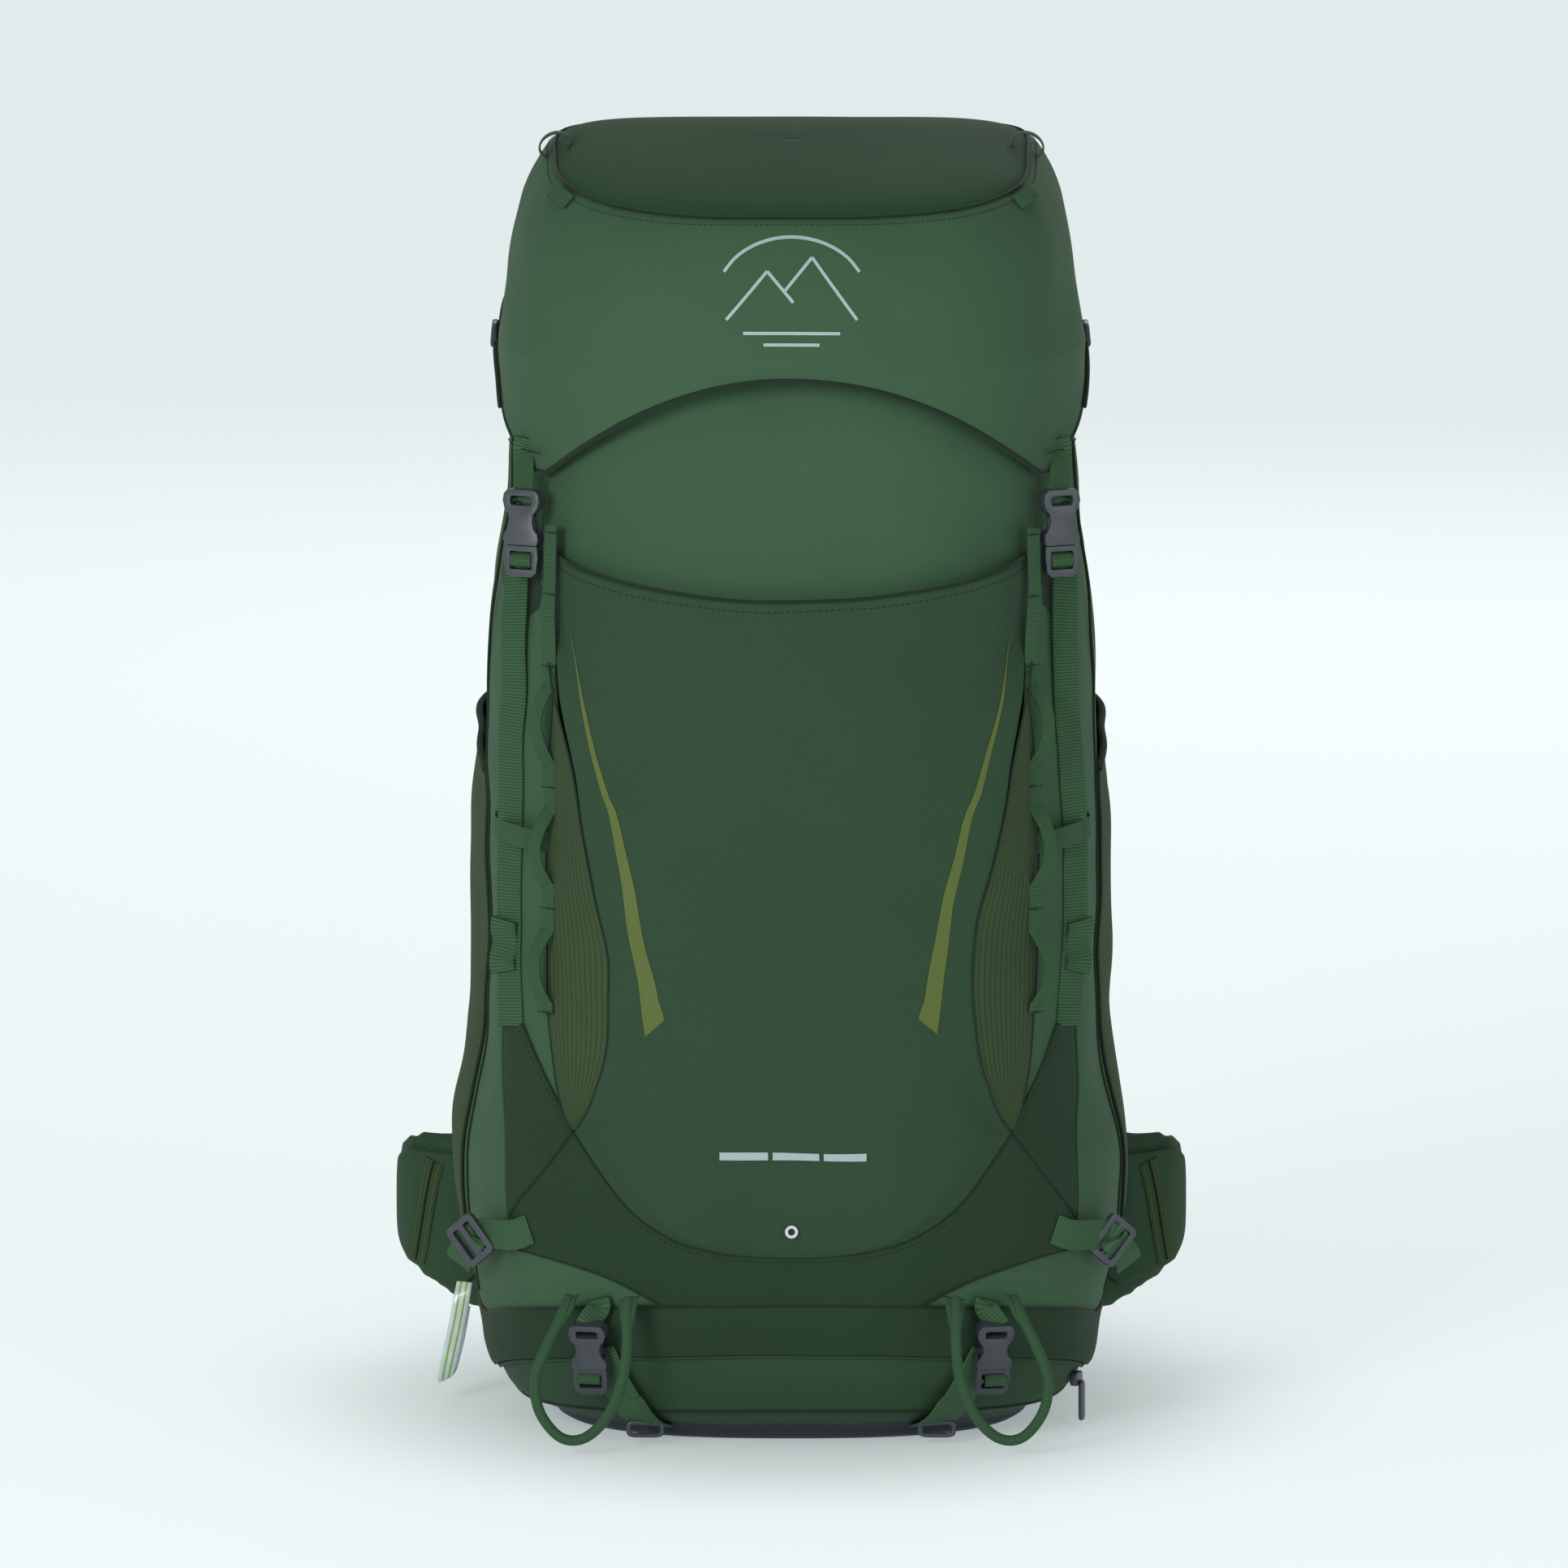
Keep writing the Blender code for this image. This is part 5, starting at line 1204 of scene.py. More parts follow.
def make_tool_loops():
    """Hanging loops of round webbing: a tube on a smooth curve, flattened where it is sewn in."""
    for side, word in SIDES:
        path = curve_through(np.array(TOOL_LOOP) * (side, 1, 1), 140)
        item = round_cord(f"tool_loop_{word}_cord", path, TOOL_LOOP_DIAMETER / 2, "loop", "pack", 14)
        replaced(item, f"tool_loop_{word}")
        for count, start in enumerate((path[:14], path[:-15:-1])):
            _, normal = front(start[:, 0], np.minimum(start[:, 2], 0.082), 0.0)
            width = np.linspace(0.0125, 0.0062, 14)
            flat_strap(f"tool_loop_tab_{word}_{count}", start - normal * 0.0012, normal, width,
                       "loop", "pack", np.linspace(0.0022, 0.0050, 14))


def make_pole_loop():
    """Clear strap bent to a loop low on the left side."""
    route = ((-0.1765, 0.0250, 0.0655), (-0.1780, 0.0215, 0.0580), (-0.1810, 0.0200, 0.0420),
             (-0.1845, 0.0200, 0.0260), (-0.1870, 0.0235, 0.0150), (-0.1870, 0.0310, 0.0120),
             (-0.1850, 0.0380, 0.0170), (-0.1810, 0.0420, 0.0330), (-0.1780, 0.0420, 0.0500))
    path = curve_through(route, 120)
    along = unit(np.gradient(path, axis=0))
    across = unit(np.cross(np.cross(along, (0.90, 0.0, 0.42)), along))
    item = section_along("clear_pole_loop", path, across, np.cross(along, across), 0.0090, 0.0020, "clear",
                         "pack", power=3.0, count=20)
    replaced(item, "pole_loop")


# ------------------------------------------------------------------ lid
def lid_hem(x, y):
    """Height of the lid's lower edge: an arc over the front, rising to the hinge at the back."""
    arc = LID_HEM_CENTRE_Z - (LID_HEM_CENTRE_Z - LID_HEM_CORNER_Z) * np.clip(
        np.abs(x) / LID_HEM_CORNER_X, 0, 1) ** 2.1
    back = np.clip((y + 0.070) / 0.150, 0, 1)
    side = LID_HEM_CORNER_Z + 0.072 * back ** 0.8
    share = smooth_step(-y, 0.050, 0.080)
    return share * arc + (1 - share) * side


def lid_plain(share, t):
    """Lid: t from 0 at the hem to 1 at the top of the wall, then to 2 at the crown's middle."""
    angle = np.interp(np.abs(share), LID_SHARE, LID_ANGLE)
    crown = np.clip(t - 1, 0, 1)
    scale, height = np.moveaxis(eased(LID_SHOULDER, crown), -1, 0)
    scale = np.where(t < 1, 1.0, np.maximum(scale, 0.0005))
    x, y = superellipse(angle, LID_HALF_WIDTH * scale, LID_FRONT_DEPTH * scale, LID_BACK_DEPTH * scale)
    x = np.where(share < 0, -x, x)
    fade = np.clip((height - 0.590) / 0.045, 0, 1)
    top = np.maximum(height + fade * LID_TILT * (y - CENTRE_Y + LID_FRONT_DEPTH * 0.8), height)
    hem = lid_hem(x, y)
    wall_top = np.maximum(0.585, hem + 0.0012)
    z = np.where(t < 1, hem + (wall_top - hem) * np.clip(t, 0, 1), np.maximum(top, wall_top + 0.004 * crown))
    points = np.stack([x, y, z], -1)
    belly = np.sin(math.pi * np.clip(z - 0.520, 0, 0.15) / 0.15) * 0.0022
    moved = relaxed(points)
    away = unit((points - (0, CENTRE_Y, 0)) * (1, 1, 0))
    return moved + away * (belly * smooth_step(-np.abs(share), -0.55, -0.2))[..., None] * (t[..., None] < 1.9)


def lid_at(share, t, lift=0.0):
    """Point and outward normal of the lid."""
    share, t, lift = np.broadcast_arrays(*(np.asarray(a, float) for a in (share, t, lift)))
    step = 1e-3
    here = lid_plain(share, t)
    normal = unit(np.cross(lid_plain(share + step, t) - lid_plain(share - step, t),
                           lid_plain(share, t + step) - lid_plain(share, t - step)))
    away = here - np.array([0.0, CENTRE_Y, 0.60])
    normal = normal * np.where(np.sum(normal * away, axis=-1, keepdims=True) < 0, -1.0, 1.0)
    return here + normal * lift[..., None], normal


def lid_front(x, z, lift=0.0):
    """Point of the lid's front at a given x and height: share and t corrected by turns until both fit."""
    x, z = np.broadcast_arrays(np.asarray(x, float), np.asarray(z, float))
    share, t = np.abs(x) / LID_HALF_WIDTH * 0.42, np.full(x.shape, 1.0)
    step = 2e-3
    for _ in range(30):
        here = lid_plain(share, t)
        by_share = (lid_plain(share + step, t) - here) / step
        by_t = (lid_plain(share, t + step) - here) / step
        off_x, off_z = np.abs(x) - here[..., 0], z - here[..., 2]
        whole = by_share[..., 0] * by_t[..., 2] - by_share[..., 2] * by_t[..., 0]
        whole = np.where(np.abs(whole) < 1e-4, 1e-4, whole)
        move = np.stack([off_x * by_t[..., 2] - off_z * by_t[..., 0],
                         off_z * by_share[..., 0] - off_x * by_share[..., 2]]) / whole
        move = np.clip(move, -0.08, 0.08) * 0.8
        share, t = np.clip(share + move[0], 0, 0.62), np.clip(t + move[1], 0, 1.75)
    return lid_at(np.where(x < 0, -share, share), t, lift)


def make_lid():
    """Lid shell with its floor, hem binding, top-panel seam, bar-tacked tabs and elastic edges."""
    steps = int(sizes().detail * 1.7)
    share = np.linspace(-1, 1, steps, endpoint=False)[:, None]
    t = np.concatenate([np.linspace(0, 1, 36), 1 + np.linspace(0, 1, 90)[1:] ** 1.15])[None]
    seam = 1 + LID_SEAM
    groove = np.exp(-((t - seam) / 0.012) ** 2) * 0.0010
    points, _ = lid_at(share + 0 * t, t + 0 * share, -groove + 0 * share)
    item = surface("lid_cloth", points, "cloth", "lid", closed=True, inside=(0, CENTRE_Y, 0.60))
    # painted shade: the top panel, above the seam, takes the darkened cloth for the shade on its upward face
    item.data.materials.append(finish("top"))
    split = int(np.searchsorted(t[0], seam))
    strip = np.tile(np.arange(t.shape[1] - 1) >= split, steps)
    item.data.polygons.foreach_set("material_index", strip.astype(int))
    replaced(thicken(item, 0.0022), "lid_shell")
    ring = np.linspace(-1, 1, 400, endpoint=False)
    path, normal = lid_at(np.append(ring, 1.0), np.full(401, seam), 0.0001)
    round_cord("lid_top_seam", path[:-1], 0.0008, "binding", "lid", 8)
    path, normal = lid_at(ring, np.full(400, seam - 0.035), 0.0001)
    stitches("lid_top_stitches", path, normal, "lid", 0.0030)
    path, normal = lid_at(ring, np.full(400, 0.0), -0.0006)
    round_cord("lid_hem_binding", path, 0.0015, "binding", "lid", 10)
    floor = np.linspace(0.0, 0.925, 30)[None]
    angle = np.interp(np.abs(share[::4]), LID_SHARE, LID_ANGLE)
    x, y = superellipse(angle, LID_HALF_WIDTH * floor, LID_FRONT_DEPTH * floor, LID_BACK_DEPTH * floor)
    x = np.where(share[::4] < 0, -x, x)
    dish = np.stack(np.broadcast_arrays(x, y, 0.6035 + 0.0 * x), -1)
    base = surface("lid_lining", dish, "lining", "lid", closed=True, inside=(0, CENTRE_Y, 0.9))
    replaced(thicken(base, 0.0012, 1.0), "lid_floor")


def make_lid_straps():
    """Lid straps: tab, socket, fold over the plug's bar, elastic along the side hem and its small clip."""
    for side, word in SIDES:
        moulded(f"lid_socket_{word}", 0.0009, segments=3)
        moulded(f"lid_plug_{word}", 0.0008, segments=3)
        turn = math.radians(24) * side
        place, axes = local_frame((side * 0.1435, -0.0900, 0.4860), (math.cos(turn), math.sin(turn), 0.0),
                                  (-side * 0.05, 0.0, 1.0))
        hold = place([(0, 0.0245, 0.0)])[0]
        top, normal = lid_front(np.array([side * 0.1425]), np.array([0.5405]), 0.0008)
        mid, _ = lid_front(np.array([side * 0.1428]), np.array([0.5330]), 0.0016)
        route = np.vstack([top[0], mid[0], mid[0] * 0.45 + hold * 0.55 + (0, 0.0015, 0.001), hold,
                           hold + (0, 0.003, -0.004)])
        path = curve_through(route, 60)
        flat_strap(f"lid_tab_{word}_webbing", path, axes[2], 0.0130, "webbing", "lid", 0.0016)
        tab, _ = lid_front(side * np.linspace(0.1345, 0.1500, 8), np.full(8, 0.5345), 0.0024)
        stitches(f"lid_tab_{word}_tack", tab, np.broadcast_to(axes[2], tab.shape), "lid",
                 0.0007, 0.0024, 0.0005)
        bar = -0.0170 * 0.48
        angle = np.linspace(0, TAU, 28)
        loop = np.stack([0 * angle, bar + 0.0036 * np.cos(angle), 0.0047 * np.sin(angle)], -1)
        section_along(f"lid_fold_{word}", place(loop), axes[0], loop_normal(loop) @ axes, 0.0125, 0.0011,
                      "loop", f"lid_plug_{word}", count=12)
        share = side * np.linspace(0.440, 0.600, 60)
        path, normal = lid_at(share, np.full(60, 0.02), 0.0016)
        round_cord(f"side_elastic_{word}", path, 0.0012, "binding", "lid", 10)
        share = side * np.linspace(0.560, 0.600, 20)
        path, normal = lid_at(share, np.full(20, 0.10), 0.0022)
        along = unit(np.gradient(path, axis=0))
        section_along(f"side_clip_{word}", path, np.cross(along, normal), normal,
                      0.0085 - 0.0025 * np.cos(np.linspace(0, TAU, 20)), 0.0040, "plastic", "lid", power=3.0,
                      count=14)


def make_lash_loops():
    """Lash loops of the lid: one standing at each corner and one lying flat along the seam."""
    for side, word in SIDES:
        angle = np.linspace(math.radians(215), math.radians(-35), 60)
        slope = math.radians(26)
        run, rise = 0.0085 * np.cos(angle), 0.0062 * np.sin(angle) + 0.0042
        x = 0.1255 + run * math.cos(slope) + rise * math.sin(slope)
        z = 0.6815 - run * math.sin(slope) + rise * math.cos(slope)
        path = np.stack([side * x, np.full_like(x, 0.030), z], -1)
        middle = path.mean(axis=0)
        item = section_along(f"lash_loop_{word}_webbing", path, (0, 1, 0), unit(path - middle),
                             0.0085, 0.0012, "loop", "lid", count=12)
        replaced(item, f"lash_loop_{word}")
        share = side * np.linspace(0.335, 0.395, 40)
        lift = 0.0010 + 0.0052 * np.sin(np.linspace(0, math.pi, 40)) ** 0.7
        path, normal = lid_at(share, np.full(40, 1 + LID_SEAM - 0.05), lift)
        flat_strap(f"flat_lash_loop_{word}", path, normal, 0.0085, "loop", "lid", 0.0012)


# ------------------------------------------------------------------ printed marks
def stroke(name, route, surface_of, body, key, width, lift=0.0004, count=60):
    """Printed line: a thin strip of even or tapering width along a route of (first, second)."""
    flat = curve_through(route, count) if len(route) > 2 else np.linspace(route[0], route[1], count)
    ahead = unit(np.gradient(flat, axis=0))
    side = np.stack([-ahead[:, 1], ahead[:, 0]], -1) * (np.broadcast_to(width, (count,)) / 2)[:, None]
    across = np.linspace(-1, 1, 5)[None, :, None]
    grid = flat[:, None] + side[:, None] * across
    points, _ = surface_of(grid[..., 0], grid[..., 1], lift)
    return surface(name, points, key, body, inside=(0, CENTRE_Y, float(points[..., 2].mean())))


def make_marks():
    """Plain marks: a sun arc over two peaks on the lid, three bars on the pocket, and tapered stripes."""
    angle = np.linspace(math.radians(155), math.radians(25), 9)
    arc = np.stack([0.0400 * np.cos(angle), 0.6260 + 0.0300 * np.sin(angle)], -1)
    stroke("mark_arc", arc, lid_front, "lid", "mark", 0.0017)
    peaks = (((-0.0350, 0.6140), (-0.0130, 0.6390)), ((-0.0130, 0.6390), (0.0010, 0.6230)),
             ((-0.0040, 0.6285), (0.0110, 0.6460)), ((0.0110, 0.6460), (0.0350, 0.6140)),
             ((-0.0260, 0.6070), (0.0260, 0.6070)), ((-0.0150, 0.6010), (0.0150, 0.6010)))
    for count, (start, end) in enumerate(peaks):
        stroke(f"mark_peak_{count}", (start, end), lid_front, "lid", "mark", 0.0017,
               0.0004 + 0.00003 * count, 24)
    for count, (start, end) in enumerate(((-0.0380, -0.0130), (-0.0105, 0.0150), (0.0175, 0.0400))):
        stroke(f"mark_bar_{count}", ((start, 0.1650), (end, 0.1650)), on_pocket, "pack", "mark", 0.0042)
    outer = curve_through(((0.1119, 0.4425), (0.1049, 0.4050), (0.0957, 0.3620), (0.0896, 0.3420),
                           (0.0808, 0.2890), (0.0738, 0.2310)), 160)
    fall = np.linspace(0, 1, 160)
    reach = 0.0004 + 0.0086 * fall ** 1.1
    share = np.linspace(0, 1, 6)[None]
    for side, word in SIDES:
        x = side * (outer[:, :1] - reach[:, None] * share)
        z = outer[:, 1:] + 0.0085 * share * smooth_step(fall, 0.90, 1.0)[:, None]
        points, _ = on_pocket(x, z, 0.0003)
        surface(f"stripe_{word}", points, "flash", "pack", inside=(0, CENTRE_Y, 0.34))


# ------------------------------------------------------------------ back, belt and harness
def cushion(name, outline, low, high, y, depth, key, body, channels=0, crown=0.5):
    """Panel of foam on the flat back: half width is a function of height, the front is crowned, and
    upright or level channels are pressed in as narrow bell curves."""
    v = crowded(110)[None]
    u = (crowded(110) * 2 - 1)[:, None]
    z = low + (high - low) * v
    x = u * outline(v)
    edge_u = np.clip((1 - np.abs(u)) / 0.14, 0, 1)
    edge_v = np.clip(np.minimum(v, 1 - v) / 0.05, 0, 1)
    round_off = np.sqrt(1 - (1 - edge_u) ** 2) * np.sqrt(1 - (1 - edge_v) ** 2)
    shape = depth * round_off * (1 - crown * 0.12 * (u ** 2 + 0 * v))
    for k in range(channels):
        middle = (k + 1) / (channels + 1)
        shape = shape - depth * 0.42 * np.exp(-((v - middle) / 0.010) ** 2) * round_off
    top = np.stack(np.broadcast_arrays(x, y + shape, z), -1)
    under = np.stack(np.broadcast_arrays(x, y + 0 * shape, z), -1)[::-1]
    points = np.concatenate([top, under], axis=0)
    return surface(name, points, key, body, closed=True, inside=(0, y, (low + high) / 2))


def make_back():
    """Back panel and lumbar pad of air mesh over foam, the haul handle, and the frame's wire and sheet."""
    def waisted(v):
        return 0.128 * (1 - 0.10 * np.abs(2 * v - 1) ** 6) * (0.93 + 0.07 * np.cos((v - 0.15) * 5))

    item = cushion("back_panel_mesh", waisted, 0.056, 0.569, 0.1128, 0.0125, "mesh", "pack", 5)
    replaced(item, "back_panel")
    item = cushion("lumbar_pad_mesh", lambda v: 0.098 * (1 - 0.16 * np.abs(2 * v - 1) ** 4),
                   0.0235, 0.1535, 0.1262, 0.0150, "mesh", "pack", 1)
    replaced(item, "lumbar_pad")
    route = [(-0.046, 0.1300, 0.556), (-0.044, 0.1330, 0.572), (-0.030, 0.1370, 0.5885),
             (0.0, 0.1375, 0.5895), (0.030, 0.1370, 0.5885), (0.044, 0.1330, 0.572), (0.046, 0.1300, 0.556)]
    path = curve_through(route, 100)
    along = unit(np.gradient(path, axis=0))
    out = unit(np.cross(along, (0, 1, 0)))
    item = section_along("haul_handle_webbing", path, (0, 1, 0), out, 0.0095, 0.0036, "webbing", "pack")
    replaced(item, "haul_handle")
    for node_name, key in (("frame_wire", "metal"), ("frame_sheet", "plastic"), ("eyelet", "metal")):
        data = frame["nodes"][node_name].data
        data.materials.clear()
        data.materials.append(finish(key))


def hip_route(side, count):
    """Plan route of a hip wing from its root round to its tip."""
    route = [(side * HIP_HINGE[0], HIP_HINGE[1], 0.079), (side * 0.140, 0.1445, 0.078),
             (side * 0.176, 0.152, 0.080), (side * 0.202, 0.172, 0.086), (side * 0.209, 0.205, 0.092)]
    return curve_through(route, count)


def make_belt():
    """Hip wings: foam sections carried round the belt's route and blown up, with pockets and webbing."""
    for side, word in SIDES:
        body = f"hip_{word}"
        path = hip_route(side, 60)
        share = np.linspace(0, 1, 60)
        width = eased(((0, 0.100), (0.1, 0.106), (0.45, 0.105), (0.7, 0.086), (0.88, 0.060), (1, 0.036)),
                      share)[:, 0]
        thick = np.interp(share, (0, 0.15, 0.85, 1), (0.0095, 0.0120, 0.0105, 0.006))
        along = unit(np.gradient(path, axis=0))
        out = unit(np.cross(along, (0, 0, 1))) * side
        item = section_along(f"hip_wing_{word}_foam", path, (0, 0, 1), out, width, thick, "soft", body,
                             power=3.0, count=64, rides=False)
        puffed(item, 0.005, 4.0, 0.0022)
        settled(item)
        replaced(item, f"hip_wing_{word}")
        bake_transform(item, "pack", body, start=(side * 0.108, HIP_HINGE[1], 0.08),
                 end=(side * 0.135, HIP_HINGE[1], 0.08))
        span = hip_route(side, 121)[52:98]
        ahead = unit(np.gradient(span, axis=0))
        outward = unit(np.cross(ahead, (0, 0, 1))) * side
        share = np.linspace(0, 1, len(span))
        width = np.interp(share, (0, 0.2, 0.8, 1), (0.050, 0.072, 0.062, 0.044))
        thick = np.interp(share, (0, 0.3, 0.7, 1), (0.003, 0.0062, 0.0062, 0.003))
        centre = span + outward * (0.0076 + thick[:, None] / 2)
        item = section_along(f"hip_pocket_{word}_cloth", centre, (0, 0, 1), outward, width, thick,
                             "soft", body, power=2.6, count=48)
        replaced(item, f"hip_pocket_{word}")
        turn = np.linspace(-1.05, 1.05, 50)
        spot = np.interp(np.linspace(0.46, 0.66, 50), np.linspace(0, 1, len(span)), np.arange(len(span)))
        at = np.stack([np.interp(spot, np.arange(len(span)), centre[:, k]) for k in range(3)], -1)
        face = np.stack([np.interp(spot, np.arange(len(span)), outward[:, k]) for k in range(3)], -1)
        high = np.interp(spot, np.arange(len(span)), width)[:, None] / 2
        deep = np.interp(spot, np.arange(len(span)), thick)[:, None] / 2
        level, bow = -np.sin(turn)[:, None], np.cos(turn)[:, None] ** (2 / 2.6)
        line = at + np.array([0, 0, 1.0]) * high * level + face * (deep * bow + 0.0004)
        flat_strap(f"hip_zip_tape_{word}", line, face, 0.0125, "knit", body, 0.0012)
        round_cord(f"hip_zip_coil_{word}", line + face * 0.0008, 0.0009, "binding", body, 8)
        route = [(side * 0.2085, 0.2065, 0.092), (side * 0.196, 0.228, 0.092), (side * 0.150, 0.2405, 0.091),
                 (side * 0.090, 0.2445, 0.090), (-0.0225 if side < 0 else 0.0505, 0.2460, 0.090)]
        strap = curve_through(route, 120)
        out = unit(np.cross((0, 0, 1), unit(np.gradient(strap, axis=0))))
        item = section_along(f"hip_strap_{word}_webbing", strap, (0, 0, 1), out, 0.025, 0.0015,
                             "webbing", body, power=6, count=14)
        replaced(item, f"hip_strap_{word}")
    moulded("hip_socket", 0.0012, segments=3)
    moulded("hip_plug", 0.0011, segments=3)


def make_harness():
    """Yoke, shoulder straps, chest strap, lower adjusters and load lifters."""
    item = cushion("harness_yoke_foam", lambda v: 0.062 * (1 - 0.18 * np.abs(2 * v - 1) ** 4), 0.372, 0.513,
                   0.1266, 0.0125, "mesh", "harness")
    replaced(item, "harness_yoke")
    for side, word in SIDES:
        route = [(side * 0.036, 0.1470, 0.470), (side * 0.040, 0.1490, 0.505), (side * 0.046, 0.1600, 0.532),
                 (side * 0.054, 0.1760, 0.535), (side * 0.062, 0.1870, 0.510), (side * 0.072, 0.1880, 0.450),
                 (side * 0.084, 0.1820, 0.370), (side * 0.096, 0.1740, 0.290), (side * 0.104, 0.1690, 0.215)]
        path = curve_through(route, 90)
        along = unit(np.gradient(path, axis=0))
        across = unit(np.cross(np.cross(along, (1, 0, 0)), along))
        out = np.cross(along, across)
        share = np.linspace(0, 1, 90)
        width = np.interp(share, (0, 0.2, 0.7, 0.93, 1), (0.046, 0.054, 0.056, 0.040, 0.024))
        thick = np.interp(share, (0, 0.15, 0.9, 1), (0.0055, 0.0080, 0.0070, 0.004))
        item = section_along(f"shoulder_strap_{word}_foam", path, across, out, width, thick,
                             "mesh", "harness", power=3.0, count=40)
        puffed(item, 0.0045, 4.0, 0.0016)
        replaced(item, f"shoulder_strap_{word}")
        upper = slice(34, 84)
        face = out[upper] * np.sign(out[upper][:, 1:2])
        flat_strap(f"shoulder_rail_{word}", path[upper] + face * 0.0052, face, 0.020,
                   "webbing", "harness", 0.0012)
        route = [(side * 0.118, 0.1290, 0.150), (side * 0.114, 0.1440, 0.168), (side * 0.110, 0.1590, 0.195),
                 (side * 0.106, 0.1605, 0.235), (side * 0.102, 0.1610, 0.280)]
        strap = curve_through(route, 60)
        item = section_along(f"load_strap_{word}_webbing", strap, (1, 0, 0),
                             np.cross(unit(np.gradient(strap, axis=0)), (1, 0, 0)), 0.019, 0.0013, "webbing",
                             "pack", power=6, count=14)
        replaced(item, f"load_strap_{word}")
        route = [(side * 0.098, 0.1945, 0.405), (side * 0.070, 0.1975, 0.405), (side * 0.036, 0.2000, 0.405),
                 (side * 0.0165, 0.2005, 0.405)]
        strap = curve_through(route, 60)
        item = section_along(f"sternum_strap_{word}_webbing", strap, (0, 0, 1),
                             np.cross((0, 0, 1), unit(np.gradient(strap, axis=0))), 0.019, 0.0013, "webbing",
                             "sternum", power=6, count=14)
        replaced(item, f"sternum_strap_{word}")
        route = [(side * 0.0540, 0.1835, 0.533), (side * 0.066, 0.1620, 0.548), (side * 0.080, 0.1330, 0.556)]
        lifter = curve_through(route, 60)
        along = unit(np.gradient(lifter, axis=0))
        item = section_along(f"load_lifter_{word}", lifter, unit(np.cross(along, (0, 0, 1))), (0, 0, 1),
                             0.015, 0.0013, "webbing", "harness", power=6, count=14, rides=False)
        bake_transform(item, "pack", "harness", start=(side * 0.080, 0.1330, 0.556),
                 end=(side * 0.0545, 0.1820, 0.5335))
    moulded("sternum_socket", 0.0009, segments=3)
    moulded("sternum_plug", 0.0008, segments=3)


def make_zip_end():
    """Slider and puller at the end of the lower zip."""
    moulded("zip_slider", 0.0007, segments=3)
    moulded("zip_puller", 0.0007, segments=3)


# ------------------------------------------------------------------ stage
def area_light(name, place, target, size, energy):
    """A square soft light aimed at a point."""
    data = bpy.data.lights.new(name, "AREA")
    data.shape = "SQUARE"
    data.size = size
    data.energy = energy
    item = bpy.data.objects.new(name, data)
    bpy.context.scene.collection.objects.link(item)
    item.location = place
    item.rotation_euler = (Vector(target) - Vector(place)).to_track_quat("-Z", "Y").to_euler()
    return item


def make_stage():
    """Wide pale floor that fills the view from every side, soft lights, and a long lens a little above it."""
    across = np.linspace(-11, 11, 60)
    x, y = np.meshgrid(across, across, indexing="ij")
    points = np.stack([x, y, np.zeros_like(x)], -1)
    paint, tree, shader = blank("pale_floor")
    where = node(tree, "ShaderNodeTexCoord", out=3)
    cloud = node(tree, "ShaderNodeTexNoise", None, where, Scale=2.0, Detail=2.0)
    feed(shader, "Base Color", mix_colour(tree, cloud, (0.46, 0.49, 0.49, 1), (0.47, 0.50, 0.50, 1)))
    # painted shadow: the floor's glow is darker in a soft ellipse round the pack's footprint, as its contact
    # shadow
    shadow_ellipse = node(tree, "ShaderNodeMapping", None, where, Location=(0.0, -0.10, 0.0), Scale=(3.6, 3.0, 1.0))
    away = node(tree, "ShaderNodeVectorMath", {"operation": "LENGTH"}, shadow_ellipse, out=1)
    near = node(tree, "ShaderNodeMapRange", {"interpolation_type": "SMOOTHERSTEP"}, away,
                0.35, 1.25, 1.0, 0.0)
    feed(shader, "Emission Color", mix_colour(tree, near, (0.86, 0.93, 0.93, 1), (0.46, 0.52, 0.52, 1)))
    shader.inputs["Roughness"].default_value = 0.95
    shader.inputs["Specular IOR Level"].default_value = 0.0
    shader.inputs["Emission Strength"].default_value = 0.66
    FINISHES["floor"] = paint
    floor = surface("studio_floor", points, "floor", "pack", inside=(0, -3, -40), rides=False)
    area_light("key_light", (-2.4, -4.2, 1.9), (0, 0, 0.36), 1.7, 125)
    area_light("fill_light", (2.6, -3.6, 1.2), (0, 0, 0.32), 2.4, 34)
    area_light("rim_light", (0.4, 3.0, 1.6), (0, 0, 0.40), 1.8, 14)
    world = bpy.data.worlds.new("studio")
    world.use_nodes = True
    sky = world.node_tree.nodes["Background"]
    sky.inputs["Color"].default_value = (0.93, 0.98, 0.98, 1)
    sky.inputs["Strength"].default_value = 0.42
    bpy.context.scene.world = world
    bpy.context.scene.view_settings.view_transform = "Standard"
    lens = bpy.data.cameras.new("long_lens")
    lens.lens = VIEW_LENS
    lens.clip_end = 200
    lens.sensor_width = VIEW_SENSOR
    view = bpy.data.objects.new("long_lens", lens)
    bpy.context.scene.collection.objects.link(view)
    target = Vector(VIEW_TARGET)
    view.location = target + VIEW_DISTANCE * Vector((0, -math.cos(VIEW_RISE), math.sin(VIEW_RISE)))
    view.rotation_euler = (target - view.location).to_track_quat("-Z", "Y").to_euler()
    bpy.context.scene.camera = view


# ------------------------------------------------------------------ operators
def operator(key, label, words, *makers):
    """Operator class that calls its makers in order and says it is finished."""
    def execute(self, context):
        for maker in makers:
            maker()
        return {"FINISHED"}
    return type(f"BACKPACK_OT_{key}", (bpy.types.Operator,), {
        "__doc__": words, "bl_idname": f"backpack.{key}", "bl_label": label,
        "bl_options": {"REGISTER", "UNDO"}, "execute": execute,
    })


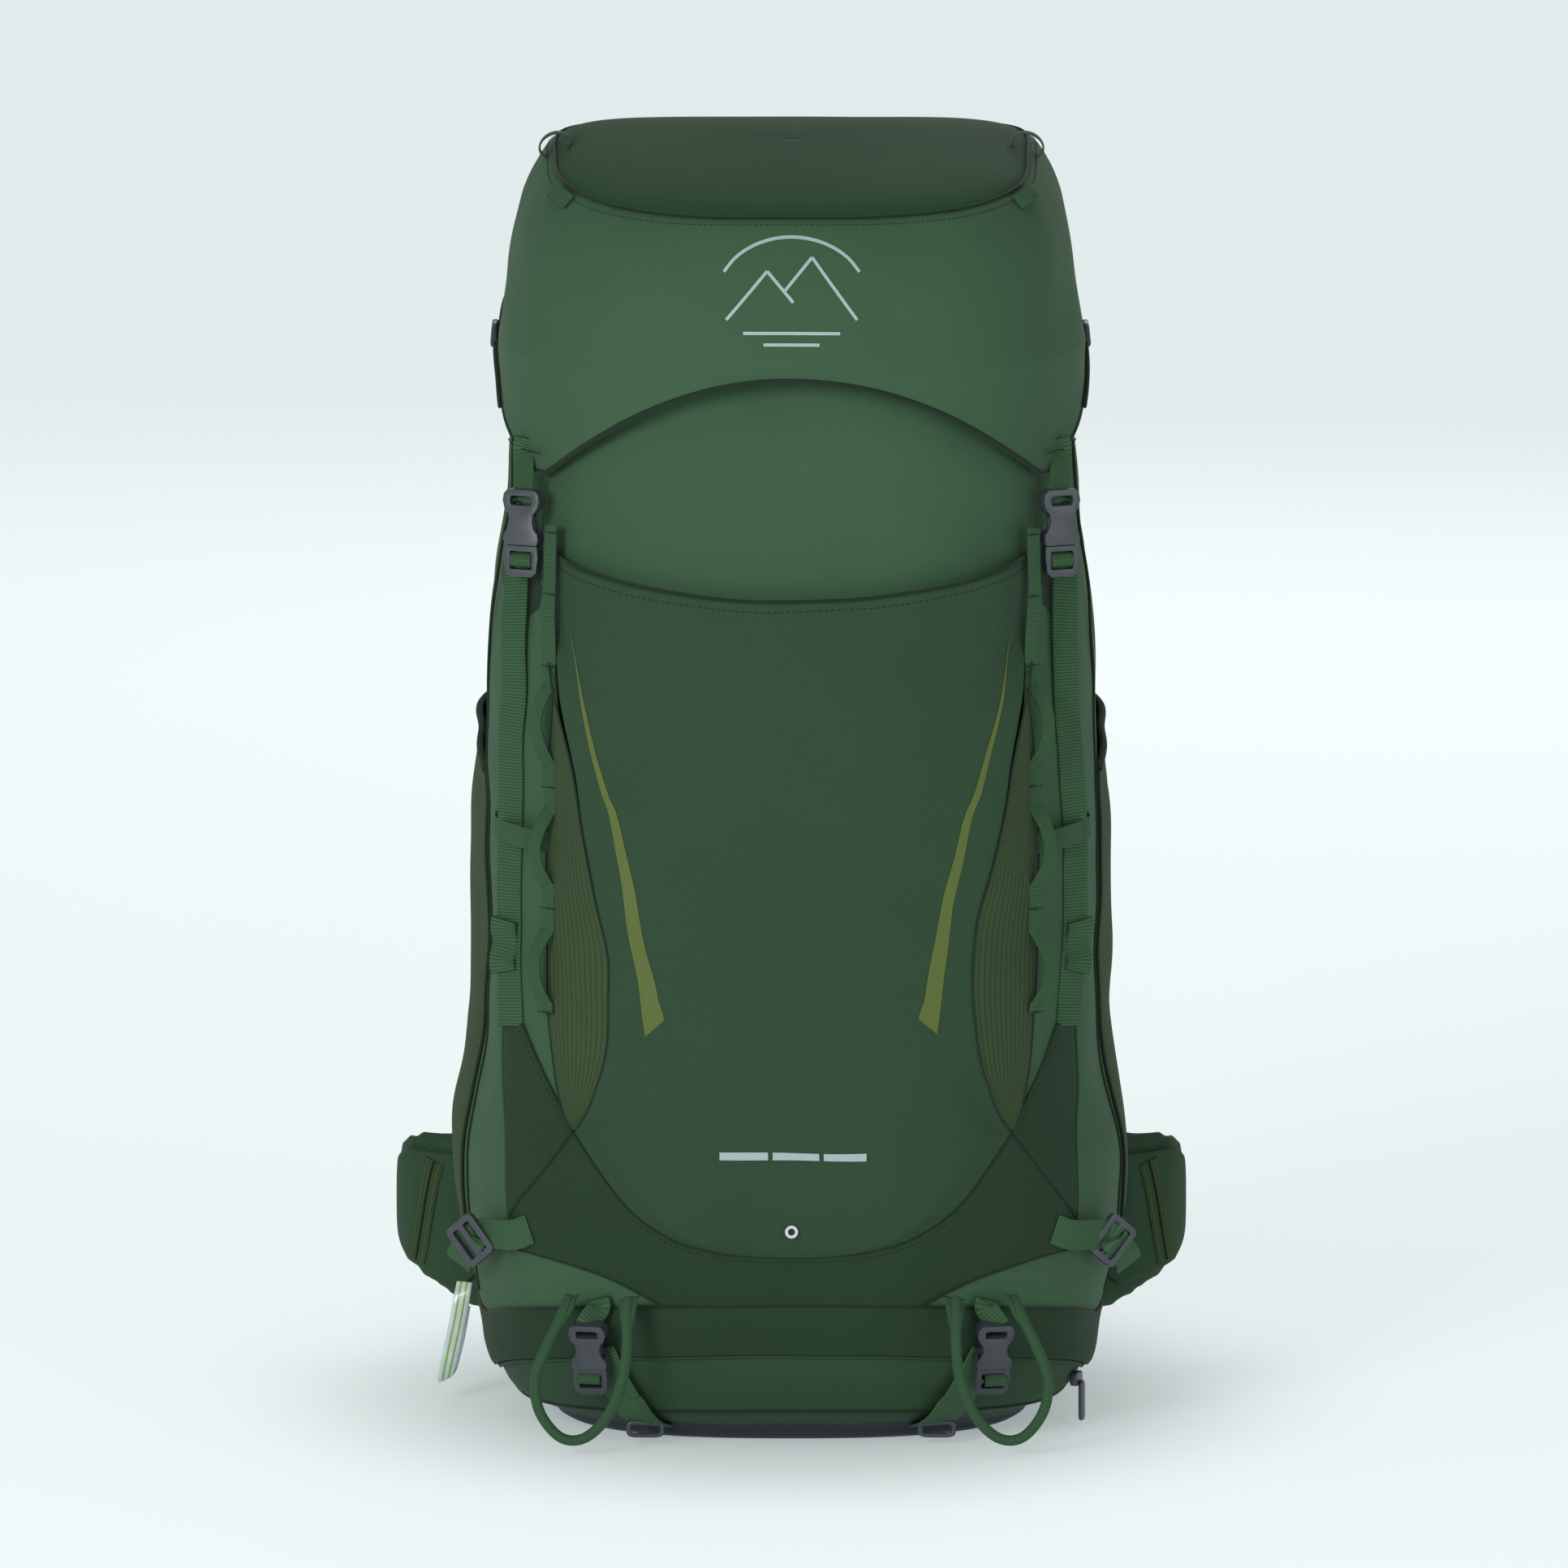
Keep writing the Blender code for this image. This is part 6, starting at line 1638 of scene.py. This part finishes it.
STEPS = (
    operator("stage", "Stage", "Floor, lights and camera", make_stage),
    operator("cords", "Hanging loops", "Tool loops and the clear pole loop", make_tool_loops, make_pole_loop),
    operator("bag", "Bag", "Bag skin, collar and base", make_bag, make_collar, make_base),
    operator("panels", "Panels", "Sewn-on panels and seams of the bag", make_lower_panels, make_base_flap,
             make_panel_seams),
    operator("pockets", "Pockets", "Front and side pockets", make_front_pocket, make_gussets,
             make_side_pockets),
    operator("webbing", "Webbing", "Straps of the front and the sides", make_webbing, make_compression),
    operator("pad_straps", "Pad straps", "Buckled straps under the front", make_pad_straps, make_zip_end),
    operator("lid", "Lid", "Lid with its straps and loops", make_lid, make_lid_straps, make_lash_loops),
    operator("marks", "Marks", "Printed marks and stripes", make_marks),
    operator("back", "Back", "Back panel, lumbar pad and handle", make_back),
    operator("belt", "Belt", "Hip wings, pockets and buckle", make_belt),
    operator("harness", "Harness", "Shoulder straps and chest strap", make_harness),
)


class BACKPACK_PT_pieces(bpy.types.Panel):
    """Buttons for each group of pieces."""
    bl_label = "Hiking backpack"
    bl_idname = "BACKPACK_PT_pieces"
    bl_space_type = "VIEW_3D"
    bl_region_type = "UI"
    bl_category = "Backpack"

    def draw(self, context):
        for group in (context.scene.backpack_sizes, context.scene.backpack_colours):
            for key in group.bl_rna.properties.keys():
                if key not in ("rna_type", "name"):
                    self.layout.prop(group, key)
        for step in STEPS:
            self.layout.operator(step.bl_idname)


CLASSES = (BackpackSizes, BackpackColours, *STEPS, BACKPACK_PT_pieces)


def register():
    for entry in CLASSES:
        bpy.utils.register_class(entry)
    bpy.types.Scene.backpack_sizes = bpy.props.PointerProperty(type=BackpackSizes)
    bpy.types.Scene.backpack_colours = bpy.props.PointerProperty(type=BackpackColours)


def unregister():
    del bpy.types.Scene.backpack_colours
    del bpy.types.Scene.backpack_sizes
    for entry in reversed(CLASSES):
        bpy.utils.unregister_class(entry)


def main():
    """Build every piece in order, and write the CAD's box and the looks' box."""
    register()
    for step in STEPS:
        getattr(bpy.ops.backpack, step.bl_idname.split(".")[1])()


if __name__ == "__main__":
    main()
